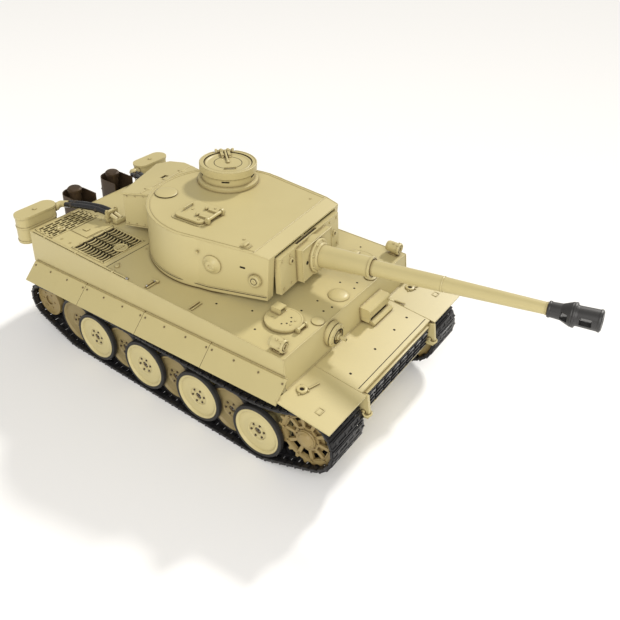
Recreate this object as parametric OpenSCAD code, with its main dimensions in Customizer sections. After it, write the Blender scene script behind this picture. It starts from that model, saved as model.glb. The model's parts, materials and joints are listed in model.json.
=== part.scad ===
// Radio-controlled heavy tank at 1:16 scale: hull, running gear, turret and recoiling gun.
// Frame: +X forward, +Y to the tank's left, +Z up, millimetres, z = 0 on the ground.

/* [Hull] */
// Width of the superstructure
body_w = 196; // [190:1:200]
// Height of the deck above the ground
deck_z = 108.5; // [107:0.5:110]
// Rear end of the deck
deck_rear_x = -226; // [-228:1:-222]
// Front edge of the deck
deck_front_x = 79; // [78:0.5:80]
// Width of the lower hull
tub_w = 120; // [118:1:122]
// Ground clearance under the lower hull
belly_z = 29.4; // [28:0.2:30]
// Thickness of the hull plates
plate_t = 3; // [2.6:0.1:3.2]
// Underside of the side boxes over the tracks
box_floor_z = 75; // [74.5:0.1:75.4]
// Thickness of the fender sheet
fender_t = 1.2; // [1:0.1:1.4]

/* [Running gear] */
// Radius of a road wheel over its tyre
wheel_r = 25; // [24.6:0.1:25]
// Height of the road wheel axles
axle_z = 29; // [29:0.1:29.2]
// Distance from one axle to the next
axle_pitch = 32.45; // [32.3:0.05:32.6]
// Position of the foremost axle
axle_1_x = 62.3; // [61:0.1:63]
// Rise of a swing arm's axle at full travel
arm_rise = 3; // [2:0.1:3.1]
// Number of links in each track
link_n = 96; // [96]
// Number of teeth on a drive sprocket
tooth_n = 20; // [20]
// Width of a track
track_w = 45; // [45]
// Distance from the middle of the tank to a track's inner edge
track_in_y = 63; // [63]
// Radius of the rear idler
idler_r = 16.8; // [16.4:0.1:16.8]

/* [Turret] */
// Position of the turret's axis on the deck
ring_x = -58; // [-60:0.5:-56]
// Radius of the turret's round rear wall
turret_r = 72; // [70:0.5:73]
// Height of the turret roof above the ground
roof_z = 158; // [157:0.5:159]
// Angle to the left at which the turret rests
rest_yaw = 4.3; // [0:0.1:6]
// Radius of the cupola's flange on the roof
cupola_r = 29; // [28:0.5:29.5]

/* [Gun] */
// Height of the gun's axis at its trunnions
gun_z = 132.3; // [132:0.1:133]
// Elevation at which the gun rests
rest_elevation = 6.5; // [5:0.1:7]
// Distance from the trunnions to the muzzle
gun_len = 248; // [242:1:250]
// Bore diameter of the barrel
bore_d = 5.5; // [5:0.1:6]
// Length of the recoil stroke
recoil = 10; // [4:1:11]

/* [Hidden] */
$fn = 64;
axle_n = 8;
sides = [-1, 1];
side_names = ["right", "left"];
fixed_nodes = ["lower_hull", "upper_hull", "fenders", "engine_grilles", "exhausts", "air_cleaners",
    "air_hoses", "headlights", "battery", "circuit_board", "drive_motors", "radio_hatch",
    "driver_hatch", "bow_gun", "turret_shell", "cupola", "cupola_hatch", "loader_hatch",
    "stowage_bin", "mantlet", "gun_barrel", "muzzle_brake"];
side_nodes = [for (s = side_names) for (n = ["track", "sprocket", "idler"]) str(n, "_", s)];
station_nodes = [for (s = side_names) for (k = [1:axle_n]) for (n = ["swing_arm", "road_wheel"])
    str(n, "_", s, "_", k)];

// Colours
sand = [0.83, 0.76, 0.56];
dark_sand = [0.72, 0.62, 0.42];
rubber_black = [0.07, 0.07, 0.08];
burnt_bronze = [0.24, 0.18, 0.14];
steel = [0.55, 0.56, 0.58];
board_green = [0.10, 0.32, 0.18];

// Clearances
bearing_gap = 0.05;
solid_gap = 0.05;
hand_gap = 0.3;
eps = 0.01;

// Glacis: from the foot of the front plate down to the nose
foot_x = 83.5;
foot_z = 80.5;
nose_x = 128;
nose_z = 76.6;
guard_tip_x = 132.5;
glacis_drop = (foot_z - nose_z) / (nose_x - foot_x);
glacis_t = 2.5;

// Deck: crew hatches, bow gun and the right side's grilles [rear x, front x, outer y, inner y]
crew_hatch_c = [51, 59];
crew_hatch_z = deck_z + 0.3;
crew_hinge_x = crew_hatch_c[0] + 17.5;
crew_hinge_z = crew_hatch_z + 2.6;
bow_gun_c = [82.5, -33, 95.5];
ball_r = 5.9;
pin_r = 1.5;
pin_reach = 7.6;
grilles = [[-224.5, -197.5, -94, -35], [-171, -126, -93, -40]];

// Side fenders: the top edge runs from low at the rear to high at the front
fender_rear_x = -222;
fender_rear_z = 76.4;
fender_front_x = 85;
fender_front_z = 92;
fender_n = 4;
fender_reach = 114.8;

// Swing arms, wheels and hubs, from the outer face inwards
disc_w = 5;
disc_gap = 1;
horn_gap = 3.4;
rim_y = 107.5;
disc_y = [for (i = [0:5]) rim_y - i * (disc_w + disc_gap)
    - (i > 1 ? horn_gap - disc_gap : 0) - (i > 3 ? horn_gap - disc_gap : 0)];
odd_discs = [0, 3, 4];
even_discs = [1, 2, 5];
tyre_t = 3;
hub_r = 5.2;
stub_r = 2;
arm_dx = 20;
arm_dz = 8;
arm_in_y = 60.6;
arm_t = 3.2;
arm_pin_r = 2.5;

// Track: heights across a link are measured from its pitch line
shoe_out = 2.6;
shoe_in = 1.45;
pad_in = 1.2;
horn_h = 6;
horn_t = 1.9;
link_body = 6.9;
tyre_lift = 0.2;
sprocket_c = [107.5, 47.3];
idler_c = [-208, 36];
wheel_wrap_r = wheel_r + tyre_lift + pad_in;
idler_wrap_r = idler_r + tyre_lift + pad_in;
sag_r = 120;
top_gap = arm_rise + 0.5;
front_c = [axle_1_x, axle_z];
rear_c = [axle_1_x - (axle_n - 1) * axle_pitch, axle_z];
lifted_c = rear_c + [0, top_gap];
top_z = lifted_c[1] + wheel_wrap_r;
link_pitch_guess = 8.1;
sprocket_pitch_r = tooth_n * link_pitch_guess / (2 * PI);
tooth_tip_r = sprocket_pitch_r + 1.15;
ring_t = 2.4;
ring_y = [101, 69.4];
ring_slot = 4;

// Turret, in a frame on the turret's axis
turret_base_z = deck_z + 1.2;
turret_wall = 4;
turret_front_x = 84;
turret_front_y = [-60, 57];
cheek_z = 116;
cheek_start_x = 30;
collar_r = 56;
cupola_c = [-24.4, 36.5];
cupola_h = 19;
lid_hinge_a = 134;
lid_hinge_r = 25;
lid_z = roof_z + cupola_h - 3.1;
lid_hinge_z = lid_z + 3;
loader_c = [-5.5, -34.5];
loader_size = [31, 33];
loader_hinge_x = loader_c[0] + loader_size[0] / 2 + 2.2;
loader_hinge_z = roof_z + 3.8;

// Gun, in a frame on its trunnions
trunnion_x = 74;
sleeve_end = 74;
brake_start = 212;

// Tangent direction of a belt that leaves circle 1 and reaches circle 2, both on its left
function belt_dir(c1, r1, c2, r2) =
    atan2(c2[1] - c1[1], c2[0] - c1[0]) + asin((r1 - r2) / norm(c2 - c1));
function belt_len(c1, r1, c2, r2) = sqrt(pow(norm(c2 - c1), 2) - pow(r1 - r2, 2));
function on_circle(c, r, a) = c + r * [cos(a), sin(a)];

// The track's route is a list of lines ["line", start, direction, length]
// and arcs ["arc", centre, radius, first angle, sweep, length]
function line_seg(p, a, len) = ["line", p, a, len];
function arc_seg(c, r, a, sweep) = ["arc", c, r, a, sweep, r * abs(sweep) * PI / 180];
function seg_len(seg) = seg[len(seg) - 1];
sag_dx = sqrt(pow(sag_r + sprocket_pitch_r, 2) - pow(top_z + sag_r - sprocket_c[1], 2));
sag_c = [sprocket_c[0] - sag_dx, top_z + sag_r];
sag_a = atan2(sag_c[1] - sprocket_c[1], sag_c[0] - sprocket_c[0]);
rise_a = belt_dir(front_c, wheel_wrap_r, sprocket_c, sprocket_pitch_r);
fall_a = belt_dir(lifted_c, wheel_wrap_r, idler_c, idler_wrap_r) + 360;
back_a = belt_dir(idler_c, idler_wrap_r, rear_c, wheel_wrap_r);
route = [
    line_seg(on_circle(rear_c, wheel_wrap_r, -90), 0, front_c[0] - rear_c[0]),
    arc_seg(front_c, wheel_wrap_r, -90, rise_a),
    line_seg(on_circle(front_c, wheel_wrap_r, rise_a - 90), rise_a,
        belt_len(front_c, wheel_wrap_r, sprocket_c, sprocket_pitch_r)),
    arc_seg(sprocket_c, sprocket_pitch_r, rise_a - 90, sag_a - rise_a + 90),
    arc_seg(sag_c, sag_r, sag_a - 180, 90 - sag_a),
    line_seg([sag_c[0], top_z], 180, sag_c[0] - lifted_c[0]),
    arc_seg(lifted_c, wheel_wrap_r, 90, fall_a % 360 - 180),
    line_seg(on_circle(lifted_c, wheel_wrap_r, fall_a - 90), fall_a,
        belt_len(lifted_c, wheel_wrap_r, idler_c, idler_wrap_r)),
    arc_seg(idler_c, idler_wrap_r, fall_a % 360 - 90, 360 + back_a - fall_a % 360),
    line_seg(on_circle(idler_c, idler_wrap_r, back_a - 90), back_a,
        belt_len(idler_c, idler_wrap_r, rear_c, wheel_wrap_r)),
    arc_seg(rear_c, wheel_wrap_r, back_a - 90, -back_a)
];
function route_sum(i) = i < 0 ? 0 : seg_len(route[i]) + route_sum(i - 1);
route_len = route_sum(len(route) - 1);
link_pitch = route_len / link_n;

// Place on the route at distance s: [x, z, direction of travel]
function on_seg(seg, s) = seg[0] == "line"
    ? concat(seg[1] + s * [cos(seg[2]), sin(seg[2])], [seg[2]])
    : let (turn = s / seg[2] * 180 / PI * sign(seg[4]), a = seg[3] + turn)
      concat(on_circle(seg[1], seg[2], a), [a + 90 * sign(seg[4])]);
function on_route(s, i = 0) = s <= seg_len(route[i]) || i == len(route) - 1
    ? on_seg(route[i], s)
    : on_route(s - seg_len(route[i]), i + 1);

function axle_x(k) = axle_1_x - (k - 1) * axle_pitch;
function pivot_x(k) = axle_x(k) + arm_dx;
function glacis_z(x) = foot_z - (x - foot_x) * glacis_drop;

// Helpers
module along_y(y0, y1) {
    translate([0, max(y0, y1), 0]) rotate([90, 0, 0]) linear_extrude(abs(y1 - y0)) children();
}
module along_x(x0, x1) { translate([x0, 0, 0]) rotate([90, 0, 90]) linear_extrude(x1 - x0) children(); }
module y_rod(p, y0, y1, r) {
    translate([p[0], min(y0, y1), p[1]]) rotate([-90, 0, 0]) cylinder(r = r, h = abs(y1 - y0));
}
module x_rod(x0, x1, r1, r2) {
    translate([x0, 0, 0]) rotate([0, 90, 0]) cylinder(r1 = r1, r2 = r2, h = x1 - x0);
}
module box(lo, hi) { translate(lo) cube(hi - lo); }
module rod(p, q, r) {
    d = q - p;
    translate(p) rotate([0, acos(d[2] / norm(d)), atan2(d[1], d[0])]) cylinder(r = r, h = norm(d));
}
module mirrored() { children(); mirror([0, 1, 0]) children(); }
module hinge_lug(p, w, r, base_z) {
    y_rod([p[0], p[2]], p[1] - w / 2, p[1] + w / 2, r);
    box([p[0] - r, p[1] - w / 2, base_z - 0.5], [p[0] + r, p[1] + w / 2, p[2]]);
}
module on_turret() { translate([ring_x, 0, 0]) rotate([0, 0, rest_yaw]) children(); }
module on_gun() {
    on_turret() translate([trunnion_x, 0, gun_z]) rotate([0, -rest_elevation, 0]) children();
}

// Lower hull: the tub that carries the running gear and the drive
module lower_hull() {
    rear_x = fender_rear_x;
    outline = [[rear_x, box_floor_z], [rear_x, 58], [rear_x + 9, belly_z], [100, belly_z],
        [nose_x, 54], [nose_x, glacis_z(nose_x) - glacis_t], [foot_x, foot_z - glacis_t],
        [foot_x, box_floor_z]];
    inside = [[rear_x + plate_t, 90], [rear_x + plate_t, 59], [rear_x + 11.5, belly_z + plate_t],
        [98.8, belly_z + plate_t], [nose_x - plate_t, 55.4], [nose_x - plate_t, 90]];
    half = tub_w / 2;
    color(sand) difference() {
        union() {
            difference() {
                along_y(-half, half) polygon(outline);
                along_y(plate_t - half, half - plate_t) polygon(inside);
            }
            mirrored() {
                for (k = [1:axle_n]) y_rod([pivot_x(k), axle_z + arm_dz], 50, half - 1, 4.2);
                y_rod(sprocket_c, 48, half + 2.6, 13);
                y_rod(idler_c, half - 1, disc_y[1] - 3, arm_pin_r);
                y_rod(idler_c, half - 1, half + 2, 9);
                // Towing tongues that carry the shackle holes
                along_y(half - plate_t, half) polygon([[nose_x - 2, glacis_z(nose_x) - glacis_t],
                    [nose_x + 5.5, 75.2], [nose_x + 9.5, 55.5], [nose_x + 8, 53], [nose_x - 4, 52]]);
                along_y(half - plate_t, half) polygon([[rear_x + 1, 66], [rear_x - 7, 63],
                    [rear_x - 7, 52], [rear_x + 3, 48]]);
            }
        }
        mirrored() {
            for (k = [1:axle_n])
                y_rod([pivot_x(k), axle_z + arm_dz], 49, half + 1, arm_pin_r + bearing_gap);
            y_rod(sprocket_c, 47, half + 4, 3 + bearing_gap);
            y_rod([nose_x + 3.8, 59], half - plate_t - 1, half + 1, 2.2);
            y_rod([rear_x - 3.4, 57.5], half - plate_t - 1, half + 1, 2.2);
        }
    }
}

// Superstructure: deck, side boxes, front plate with the driver's visor, and glacis
module upper_hull() {
    half = body_w / 2;
    inner_half = half - plate_t;
    tub_half = tub_w / 2;
    outline = [[deck_rear_x, box_floor_z], [foot_x, box_floor_z], [foot_x, foot_z],
        [deck_front_x, deck_z], [deck_rear_x, deck_z]];
    inside = [[deck_rear_x + plate_t, box_floor_z + 2], [foot_x - plate_t, box_floor_z + 2],
        [foot_x - plate_t, foot_z - 0.7], [deck_front_x - 2.7, deck_z - plate_t],
        [deck_rear_x + plate_t, deck_z - plate_t]];
    color(sand) difference() {
        union() {
            difference() {
                along_y(-half, half) polygon(outline);
                along_y(-inner_half, inner_half) polygon(inside);
            }
            along_y(-tub_half, tub_half) polygon([[foot_x - 0.5, foot_z], [foot_x, foot_z],
                [nose_x, nose_z], [nose_x, nose_z - glacis_t], [foot_x, foot_z - glacis_t],
                [foot_x - 0.5, foot_z - glacis_t]]);
            // Driver's visor: fixed frame above, sliding block below
            along_y(12.5, 48) polygon([[80, 87], [91.5, 87], [91.5, 94.5], [90, 96], [80, 96]]);
            along_y(16, 49) polygon([[81, 79], [95.5, 79], [96, 82], [94, 83.5], [81, 83.5]]);
            translate([0, bow_gun_c[1], bow_gun_c[2]]) x_rod(80, 84.5, 11, 10.5);
            translate([0, bow_gun_c[1], bow_gun_c[2]]) x_rod(84.4, 88, 9.4, 7.6);
            // Lugs for the crew hatches' hinge rods
            for (s = sides) for (y = [-5.2, 5.2])
                hinge_lug([crew_hinge_x, s * crew_hatch_c[1] + y, crew_hinge_z], 1.8, 1.9, deck_z);
        }
        // Way down into the tub, turret ring, hatches and gun port
        box([fender_rear_x + plate_t, -57, box_floor_z - 1], [foot_x - plate_t, 57, box_floor_z + 3]);
        translate([ring_x, 0, deck_z - plate_t - 1]) cylinder(r = collar_r + hand_gap, h = plate_t + 2);
        for (s = sides) translate([0, s * crew_hatch_c[1], 0]) {
            translate([crew_hatch_c[0], 0, deck_z - plate_t - 1]) cylinder(r = 12.5, h = plate_t + 2);
            y_rod([crew_hinge_x, crew_hinge_z], -8, 8, 1.2 + bearing_gap);
        }
        translate([0, bow_gun_c[1], bow_gun_c[2]]) x_rod(70, 92, ball_r + bearing_gap, ball_r + bearing_gap);
        translate(bow_gun_c) cylinder(r = pin_r + bearing_gap, h = 2 * pin_reach + 0.2, center = true);
        for (s = sides) for (g = grilles)
            box([g[0] + 1.5, s > 0 ? -g[3] + 1.5 : g[2] + 1.5, deck_z - plate_t - 1],
                [g[1] - 1.5, s > 0 ? -g[2] - 1.5 : g[3] - 1.5, deck_z + 1]);
    }
}

// Fenders: four sloping sheets on each side and the front mudguards
module fenders() {
    slope = atan2(fender_front_z - fender_rear_z, fender_front_x - fender_rear_x);
    run = norm([fender_front_x - fender_rear_x, fender_front_z - fender_rear_z]) / fender_n;
    wall_y = body_w / 2 + solid_gap;
    section = [[wall_y, fender_t / 2], [wall_y + 2.2, fender_t / 2], [fender_reach + 0.4, -14],
        [fender_reach - 0.5, -14.9], [wall_y + 1.6, -fender_t / 2], [wall_y, -fender_t / 2]];
    color(sand) mirrored() {
        translate([fender_rear_x, 0, fender_rear_z]) rotate([0, -slope, 0])
            for (i = [0:fender_n - 1]) along_x(i * run, (i + 1) * run - 0.4) polygon(section);
        along_y(tub_w / 2 + 0.2, 113) polygon([[foot_x + 0.2, glacis_z(foot_x + 0.2)],
            [guard_tip_x, glacis_z(guard_tip_x)], [guard_tip_x, glacis_z(guard_tip_x) - fender_t],
            [foot_x + 0.2, glacis_z(foot_x + 0.2) - fender_t]]);
    }
}

// Engine deck: staggered-slot grilles over the fans and barred grilles over the radiators
module slotted_plate(g, rows, cols, slot, stagger) {
    pitch_x = (g[1] - g[0] - 3) / rows;
    pitch_y = (g[3] - g[2] - 3) / cols;
    difference() {
        box([g[0] + 1.6, g[2] + 1.6, deck_z - 1.8], [g[1] - 1.6, g[3] - 1.6, deck_z]);
        for (i = [0:rows - 1]) for (j = [0:cols - 1]) {
            shift = stagger ? (i % 2) * 0.5 - 0.25 : 0;
            x = g[0] + 1.5 + (i + 0.5) * pitch_x;
            y = g[2] + 1.5 + (j + 0.5 + shift) * pitch_y;
            box([x - slot[0] / 2, y - slot[1] / 2, deck_z - 3],
                [x + slot[0] / 2, y + slot[1] / 2, deck_z + 1]);
        }
    }
}
module engine_grilles() {
    color(sand) mirrored() {
        slotted_plate(grilles[0], 6, 5, [2.2, 7.6], true);
        slotted_plate(grilles[1], 10, 4, [2.3, 10.6], false);
    }
}

// Exhausts: two capped stacks behind curved heat shields
module exhausts() {
    stack_x = -244;
    plate_x = deck_rear_x - 0.1;
    color(burnt_bronze) mirrored() {
        translate([stack_x, 26, 70]) difference() {
            union() {
                cylinder(r = 6, h = 50);
                translate([0, 0, 49]) cylinder(r = 7.2, h = 2.4);
            }
            translate([0, 0, 12]) cylinder(r = 4.8, h = 45);
        }
        box([stack_x + 5, 22, 72], [plate_x, 30, 78]);
        translate([stack_x, 26, 64]) difference() {
            union() {
                cylinder(r = 13, h = 53);
                box([0, -13, 0], [plate_x - stack_x - 0.1, 13, 53]);
            }
            translate([0, 0, -1]) cylinder(r = 12, h = 55);
            box([-1, -12, -1], [plate_x - stack_x + 1, 12, 55]);
        }
    }
}

// Air cleaners: a flat-topped drum at each rear corner and its pipes to the hoses
cleaner_c = [-240, 79.5];
hose_rear = [-229, 46, 116];
hose_front = [-183, 32, 116];
hose_r = 2.4;
module air_cleaners() {
    color(sand) mirrored() {
        for (y = [-13, 13]) translate([cleaner_c[0], cleaner_c[1] + y, 91]) cylinder(r = 9, h = 28.5);
        box([cleaner_c[0] - 9, cleaner_c[1] - 13, 91], [cleaner_c[0] + 9, cleaner_c[1] + 13, 119.5]);
        box([cleaner_c[0] + 8.5, cleaner_c[1] - 10, 96], [deck_rear_x - 0.1, cleaner_c[1] + 10, 104]);
        rod([cleaner_c[0] + 2, 60, 114], [cleaner_c[0] + 2, 50, 115], 3.4);
        rod([cleaner_c[0] + 2, 50, 115], [hose_rear[0] - 1, 46, 116], 3.4);
        // Clamp on the deck and the intake stubs ahead of it
        box([hose_front[0], 25, deck_z], [hose_front[0] + 3.4, 39, 120]);
        for (s = sides)
            rod([hose_front[0] + 3.3, 32 + s * 2.6, 116], [hose_front[0] + 10, 30 + s * 2.6, 112], 2);
        box([hose_front[0] + 7, 24, deck_z], [hose_front[0] + 13, 36, 113]);
    }
}
module air_hoses() {
    color(rubber_black) mirrored() for (s = sides) {
        side = [0, s * 2.6, 0];
        points = [hose_rear, [-218, 43.5, 118.5], [-203, 37, 118], hose_front - [0.1, 0, 0]];
        for (i = [0:2]) rod(points[i] + side, points[i + 1] + side, hose_r);
        for (i = [1:2]) translate(points[i] + side) sphere(r = hose_r);
    }
}

// Headlights: a drum lamp on a bracket at each front corner of the deck
module headlights() {
    color(sand) mirrored() {
        box([67, 89.5, deck_z], [72, 93.5, deck_z + 3]);
        difference() {
            translate([0, 91.5, deck_z + 6.8]) x_rod(64.5, 75.5, 5, 5);
            translate([0, 91.5, deck_z + 6.8]) x_rod(74.7, 76, 3.8, 3.8);
        }
    }
}

// Battery pack on the floor, electronics behind it
module battery() {
    color(steel) box([-60, -24, belly_z + plate_t], [40, 24, belly_z + plate_t + 26]);
}
module circuit_board() {
    floor_z = belly_z + plate_t;
    color(board_green) {
        for (x = [-160, -108]) for (y = [-32, 32]) translate([x, y, floor_z]) cylinder(r = 3, h = 8.5);
        box([-165, -38, floor_z + 8], [-103, 38, floor_z + 9.6]);
        for (i = [0:2]) box([-158 + i * 17, -20, floor_z + 9.2], [-148 + i * 17, -6, floor_z + 13]);
        for (i = [0:2]) translate([-152 + i * 18, 18, floor_z + 9.2]) cylinder(r = 4, h = 12);
    }
}
module drive_motors() {
    floor_z = belly_z + plate_t;
    color(steel) mirrored() {
        along_y(14, 44) polygon([[84, floor_z + 2], [99, floor_z + 2], [119, 52.5], [119, 62], [84, 62]]);
        box([86, 16, floor_z], [96, 42, floor_z + 2.5]);
        translate([0, 29, floor_z + 14.5]) x_rod(46, 84, 12, 12);
        translate([0, 29, floor_z + 14.5]) x_rod(43, 46, 4, 4);
    }
    color(steel) {
        translate([ring_x - 30, 0, 66]) cylinder(r = 9, h = 30);
        box([ring_x - 42, -14, 60], [ring_x - 18, 14, 66]);
        for (y = [-13, 13]) box([ring_x - 40, y - 1, floor_z], [ring_x - 36, y + 1, 60]);
    }
}

// Round crew hatches on the front deck, hinged at their front edges
module crew_hatch(side, with_hood) {
    hinge_dx = crew_hinge_x - crew_hatch_c[0];
    hood_y = -6 * side;
    color(sand) translate([crew_hatch_c[0], side * crew_hatch_c[1], crew_hatch_z]) {
        difference() {
            union() {
                cylinder(r = 16, h = 2.2);
                translate([0, 0, -4]) cylinder(r = 11.8, h = 4.2);
            }
            translate([0, 0, -5]) cylinder(r = 10, h = 4);
        }
        box([14, -3.8, 0.4], [hinge_dx, 3.8, 2.4]);
        y_rod([hinge_dx, crew_hinge_z - crew_hatch_z], -6, 6, 1.2);
        if (with_hood) difference() {
            box([-14, hood_y - 4.5, 2], [-5, hood_y + 4.5, 7.6]);
            box([-9, hood_y - 3, 3], [-4.5, hood_y + 3, 6.6]);
        }
    }
}
module radio_hatch() { crew_hatch(-1, true); }
module driver_hatch() { crew_hatch(1, true); }

// Bow machine gun: a ball that swivels in the front plate
module bow_gun() {
    color(sand) translate(bow_gun_c) {
        sphere(r = ball_r);
        cylinder(r = pin_r, h = 2 * pin_reach, center = true);
        x_rod(4, 13, 1.5, 1.3);
    }
}

// One track link, on its pitch line, inner side up
module track_link() {
    slot = ring_slot / 2;
    y_in = track_in_y;
    y_out = track_in_y + track_w;
    section = [[y_in, -shoe_out], [y_out, -shoe_out], [y_out, pad_in],
        [ring_y[0] + slot, pad_in], [ring_y[0] + slot, -shoe_in], [ring_y[0] - slot, -shoe_in],
        [ring_y[0] - slot, pad_in], [ring_y[1] + slot, pad_in], [ring_y[1] + slot, -shoe_in],
        [ring_y[1] - slot, -shoe_in], [ring_y[1] - slot, pad_in], [y_in, pad_in]];
    along_x(-link_body / 2, link_body / 2) polygon(section);
    for (i = [1, 3]) {
        y = disc_y[i] - disc_w - horn_gap / 2;
        along_y(y - horn_t / 2, y + horn_t / 2) polygon([[-2.4, 0], [2.4, 0],
            [1, pad_in + horn_h], [-1, pad_in + horn_h]]);
    }
}
module track(side) {
    color(rubber_black) mirror([0, side < 0 ? 1 : 0, 0])
        for (i = [0:link_n - 1]) {
            p = on_route((i + 0.5) * link_pitch);
            translate([p[0], 0, p[1]]) rotate([0, -p[2], 0]) track_link();
        }
}

// Drive sprocket: two toothed rings on a spoked drum, with its shaft into the hull
module sprocket_ring(y) {
    root_r = tooth_tip_r - 3;
    along_y(y - ring_t / 2, y + ring_t / 2) difference() {
        union() {
            circle(r = root_r);
            for (i = [0:tooth_n - 1]) rotate(i * 360 / tooth_n)
                polygon([[root_r - 0.6, -2.1], [tooth_tip_r - 0.05, -0.9],
                    [tooth_tip_r - 0.05, 0.9], [root_r - 0.6, 2.1]]);
        }
        for (i = [0:9]) rotate(i * 36 + 18) polygon([[11, -2.2], [19, -4.4], [19, 4.4], [11, 2.2]]);
    }
}
module sprocket(side) {
    color(dark_sand) translate([sprocket_c[0], 0, sprocket_c[1]]) mirror([0, side < 0 ? 1 : 0, 0]) {
        for (y = ring_y) sprocket_ring(y);
        y_rod([0, 0], ring_y[1] + ring_t / 2, ring_y[0] - ring_t / 2, 15);
        y_rod([0, 0], ring_y[0], ring_y[0] + 3.6, 8);
        y_rod([0, 0], 66, ring_y[1], 6);
        y_rod([0, 0], 48.2, 66, 3);
    }
}

// A wheel turned about the Y axis: discs with tyres on a common hub, bored for its stub
module disc_set(discs, disc_r, tyre, bore) {
    out_y = disc_y[discs[0]];
    in_y = disc_y[discs[2]] - disc_w;
    rim_r = disc_r - tyre;
    difference() {
        union() {
            y_rod([0, 0], in_y, out_y - 1.2, hub_r);
            for (d = discs) y_rod([0, 0], disc_y[d] - disc_w, disc_y[d], rim_r - solid_gap);
        }
        y_rod([0, 0], out_y - 1.4, out_y + 1, hub_r);
        y_rod([0, 0], in_y - 1, out_y - 2.4, bore);
    }
    if (tyre > 0) for (d = discs) difference() {
        y_rod([0, 0], disc_y[d] - disc_w, disc_y[d], disc_r);
        y_rod([0, 0], disc_y[d] - disc_w - 1, disc_y[d] + 1, rim_r);
    }
}
module idler(side) {
    color(dark_sand) translate([idler_c[0], 0, idler_c[1]]) mirror([0, side < 0 ? 1 : 0, 0])
        disc_set(even_discs, idler_r, 0, arm_pin_r + bearing_gap);
}
module road_wheel(side, k) {
    color(sand) translate([axle_x(k), 0, axle_z]) mirror([0, side < 0 ? 1 : 0, 0])
        disc_set(k % 2 == 1 ? odd_discs : even_discs, wheel_r, tyre_t, stub_r + bearing_gap);
}

// Swing arm: a flat crank with a pivot pin into the hull and a stub for the wheels
module swing_arm(side, k) {
    pivot = [pivot_x(k), axle_z + arm_dz];
    stub = [axle_x(k), axle_z];
    reach = (k % 2 == 1) ? disc_y[0] - 3 : disc_y[1] - 3;
    tilt = atan2(arm_dz, arm_dx);
    color(steel) mirror([0, side < 0 ? 1 : 0, 0]) {
        y_rod(pivot, 51, arm_in_y + 1, arm_pin_r);
        along_y(arm_in_y, arm_in_y + arm_t) {
            translate(pivot) circle(r = 4.4);
            translate(stub) circle(r = 4);
            translate(stub) rotate(tilt) translate([0, -3]) square([norm([arm_dx, arm_dz]), 6]);
        }
        y_rod(stub, arm_in_y + 1, reach, stub_r);
    }
}

// Turret plan: round behind, straight cheeks in front
module turret_plan(inset) {
    circle(r = turret_r - inset, $fn = 96);
    polygon([[0, turret_r - inset], [0, inset - turret_r],
        [turret_front_x - inset, turret_front_y[0] + inset],
        [turret_front_x - inset, turret_front_y[1] - inset]]);
}
module loader_frame(grow) {
    size = loader_size + 2 * [grow, grow];
    corner = 5;
    translate(loader_c) {
        square([size[0], size[1] - 2 * corner], center = true);
        square([size[0] - 2 * corner, size[1]], center = true);
        for (x = sides) for (y = sides)
            translate([x * (size[0] / 2 - corner), y * (size[1] / 2 - corner)]) circle(r = corner);
    }
}
module turret_shell() {
    roof_t = 2.6;
    color(sand) on_turret() difference() {
        union() {
            difference() {
                translate([0, 0, turret_base_z]) linear_extrude(roof_z - turret_base_z) turret_plan(0);
                translate([0, 0, turret_base_z - 1]) linear_extrude(roof_z - turret_base_z + 1 - roof_t)
                    turret_plan(turret_wall);
            }
            // Ring that turns in the deck, joined to the wall by a flat web
            translate([0, 0, deck_z - plate_t - 3]) difference() {
                cylinder(r = collar_r, h = turret_base_z + 2 - deck_z + plate_t + 3);
                translate([0, 0, -1]) cylinder(r = collar_r - 4, h = 20);
            }
            difference() {
                translate([0, 0, turret_base_z]) cylinder(r = turret_r - 2, h = 2);
                translate([0, 0, turret_base_z - 1]) cylinder(r = collar_r - 4, h = 4);
            }
            // Pistol port plugs, trunnion caps and the round vent on the roof
            translate([33, -66, 137]) rotate([90, 0, -6]) cylinder(r1 = 7.5, r2 = 4.5, h = 5);
            translate([trunnion_x - 1, -57, gun_z + 1]) rotate([90, 0, 0]) cylinder(r = 5.5, h = 7);
            translate([trunnion_x - 1, 55, gun_z + 1]) rotate([-90, 0, 0]) cylinder(r = 5.5, h = 7);
            translate([-54, -20, roof_z - 0.5]) cylinder(r1 = 10, r2 = 8.5, h = 1.7);
            translate([0, 0, roof_z - 0.5]) linear_extrude(1) loader_frame(2);
            box([56, -59, roof_z - 0.5], [63, -53, roof_z + 1.4]);
            for (y = sides)
                hinge_lug([loader_hinge_x, loader_c[1] + y * 10.2, loader_hinge_z], 2.4, 2.3, roof_z);
        }
        // Lower edge rises under the cheeks, and the roof falls away to the front edge
        along_y(-80, 80) polygon([[cheek_start_x, turret_base_z - 1], [cheek_start_x, turret_base_z],
            [turret_front_x, cheek_z], [100, cheek_z], [100, turret_base_z - 1]]);
        translate([70, -80, roof_z]) rotate([0, 8, 0]) cube([30, 160, 10]);
        // Gun opening, crew openings and trunnion bearings
        box([60, -51.3, cheek_z - 1], [90, 51.3, roof_z - 3.7]);
        translate([cupola_c[0], cupola_c[1], roof_z - 10]) cylinder(r = 20, h = 20);
        translate([0, 0, roof_z - 10]) linear_extrude(20) loader_frame(-3.5);
        y_rod([trunnion_x, gun_z], -58.4, 58.4, stub_r + bearing_gap);
        y_rod([loader_hinge_x, loader_hinge_z], loader_c[1] - 13, loader_c[1] + 13, 1.5 + bearing_gap);
        translate([61, -65, 142]) rotate([0, 0, 8]) cube([4, 8, 1.4], center = true);
    }
}

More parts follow.
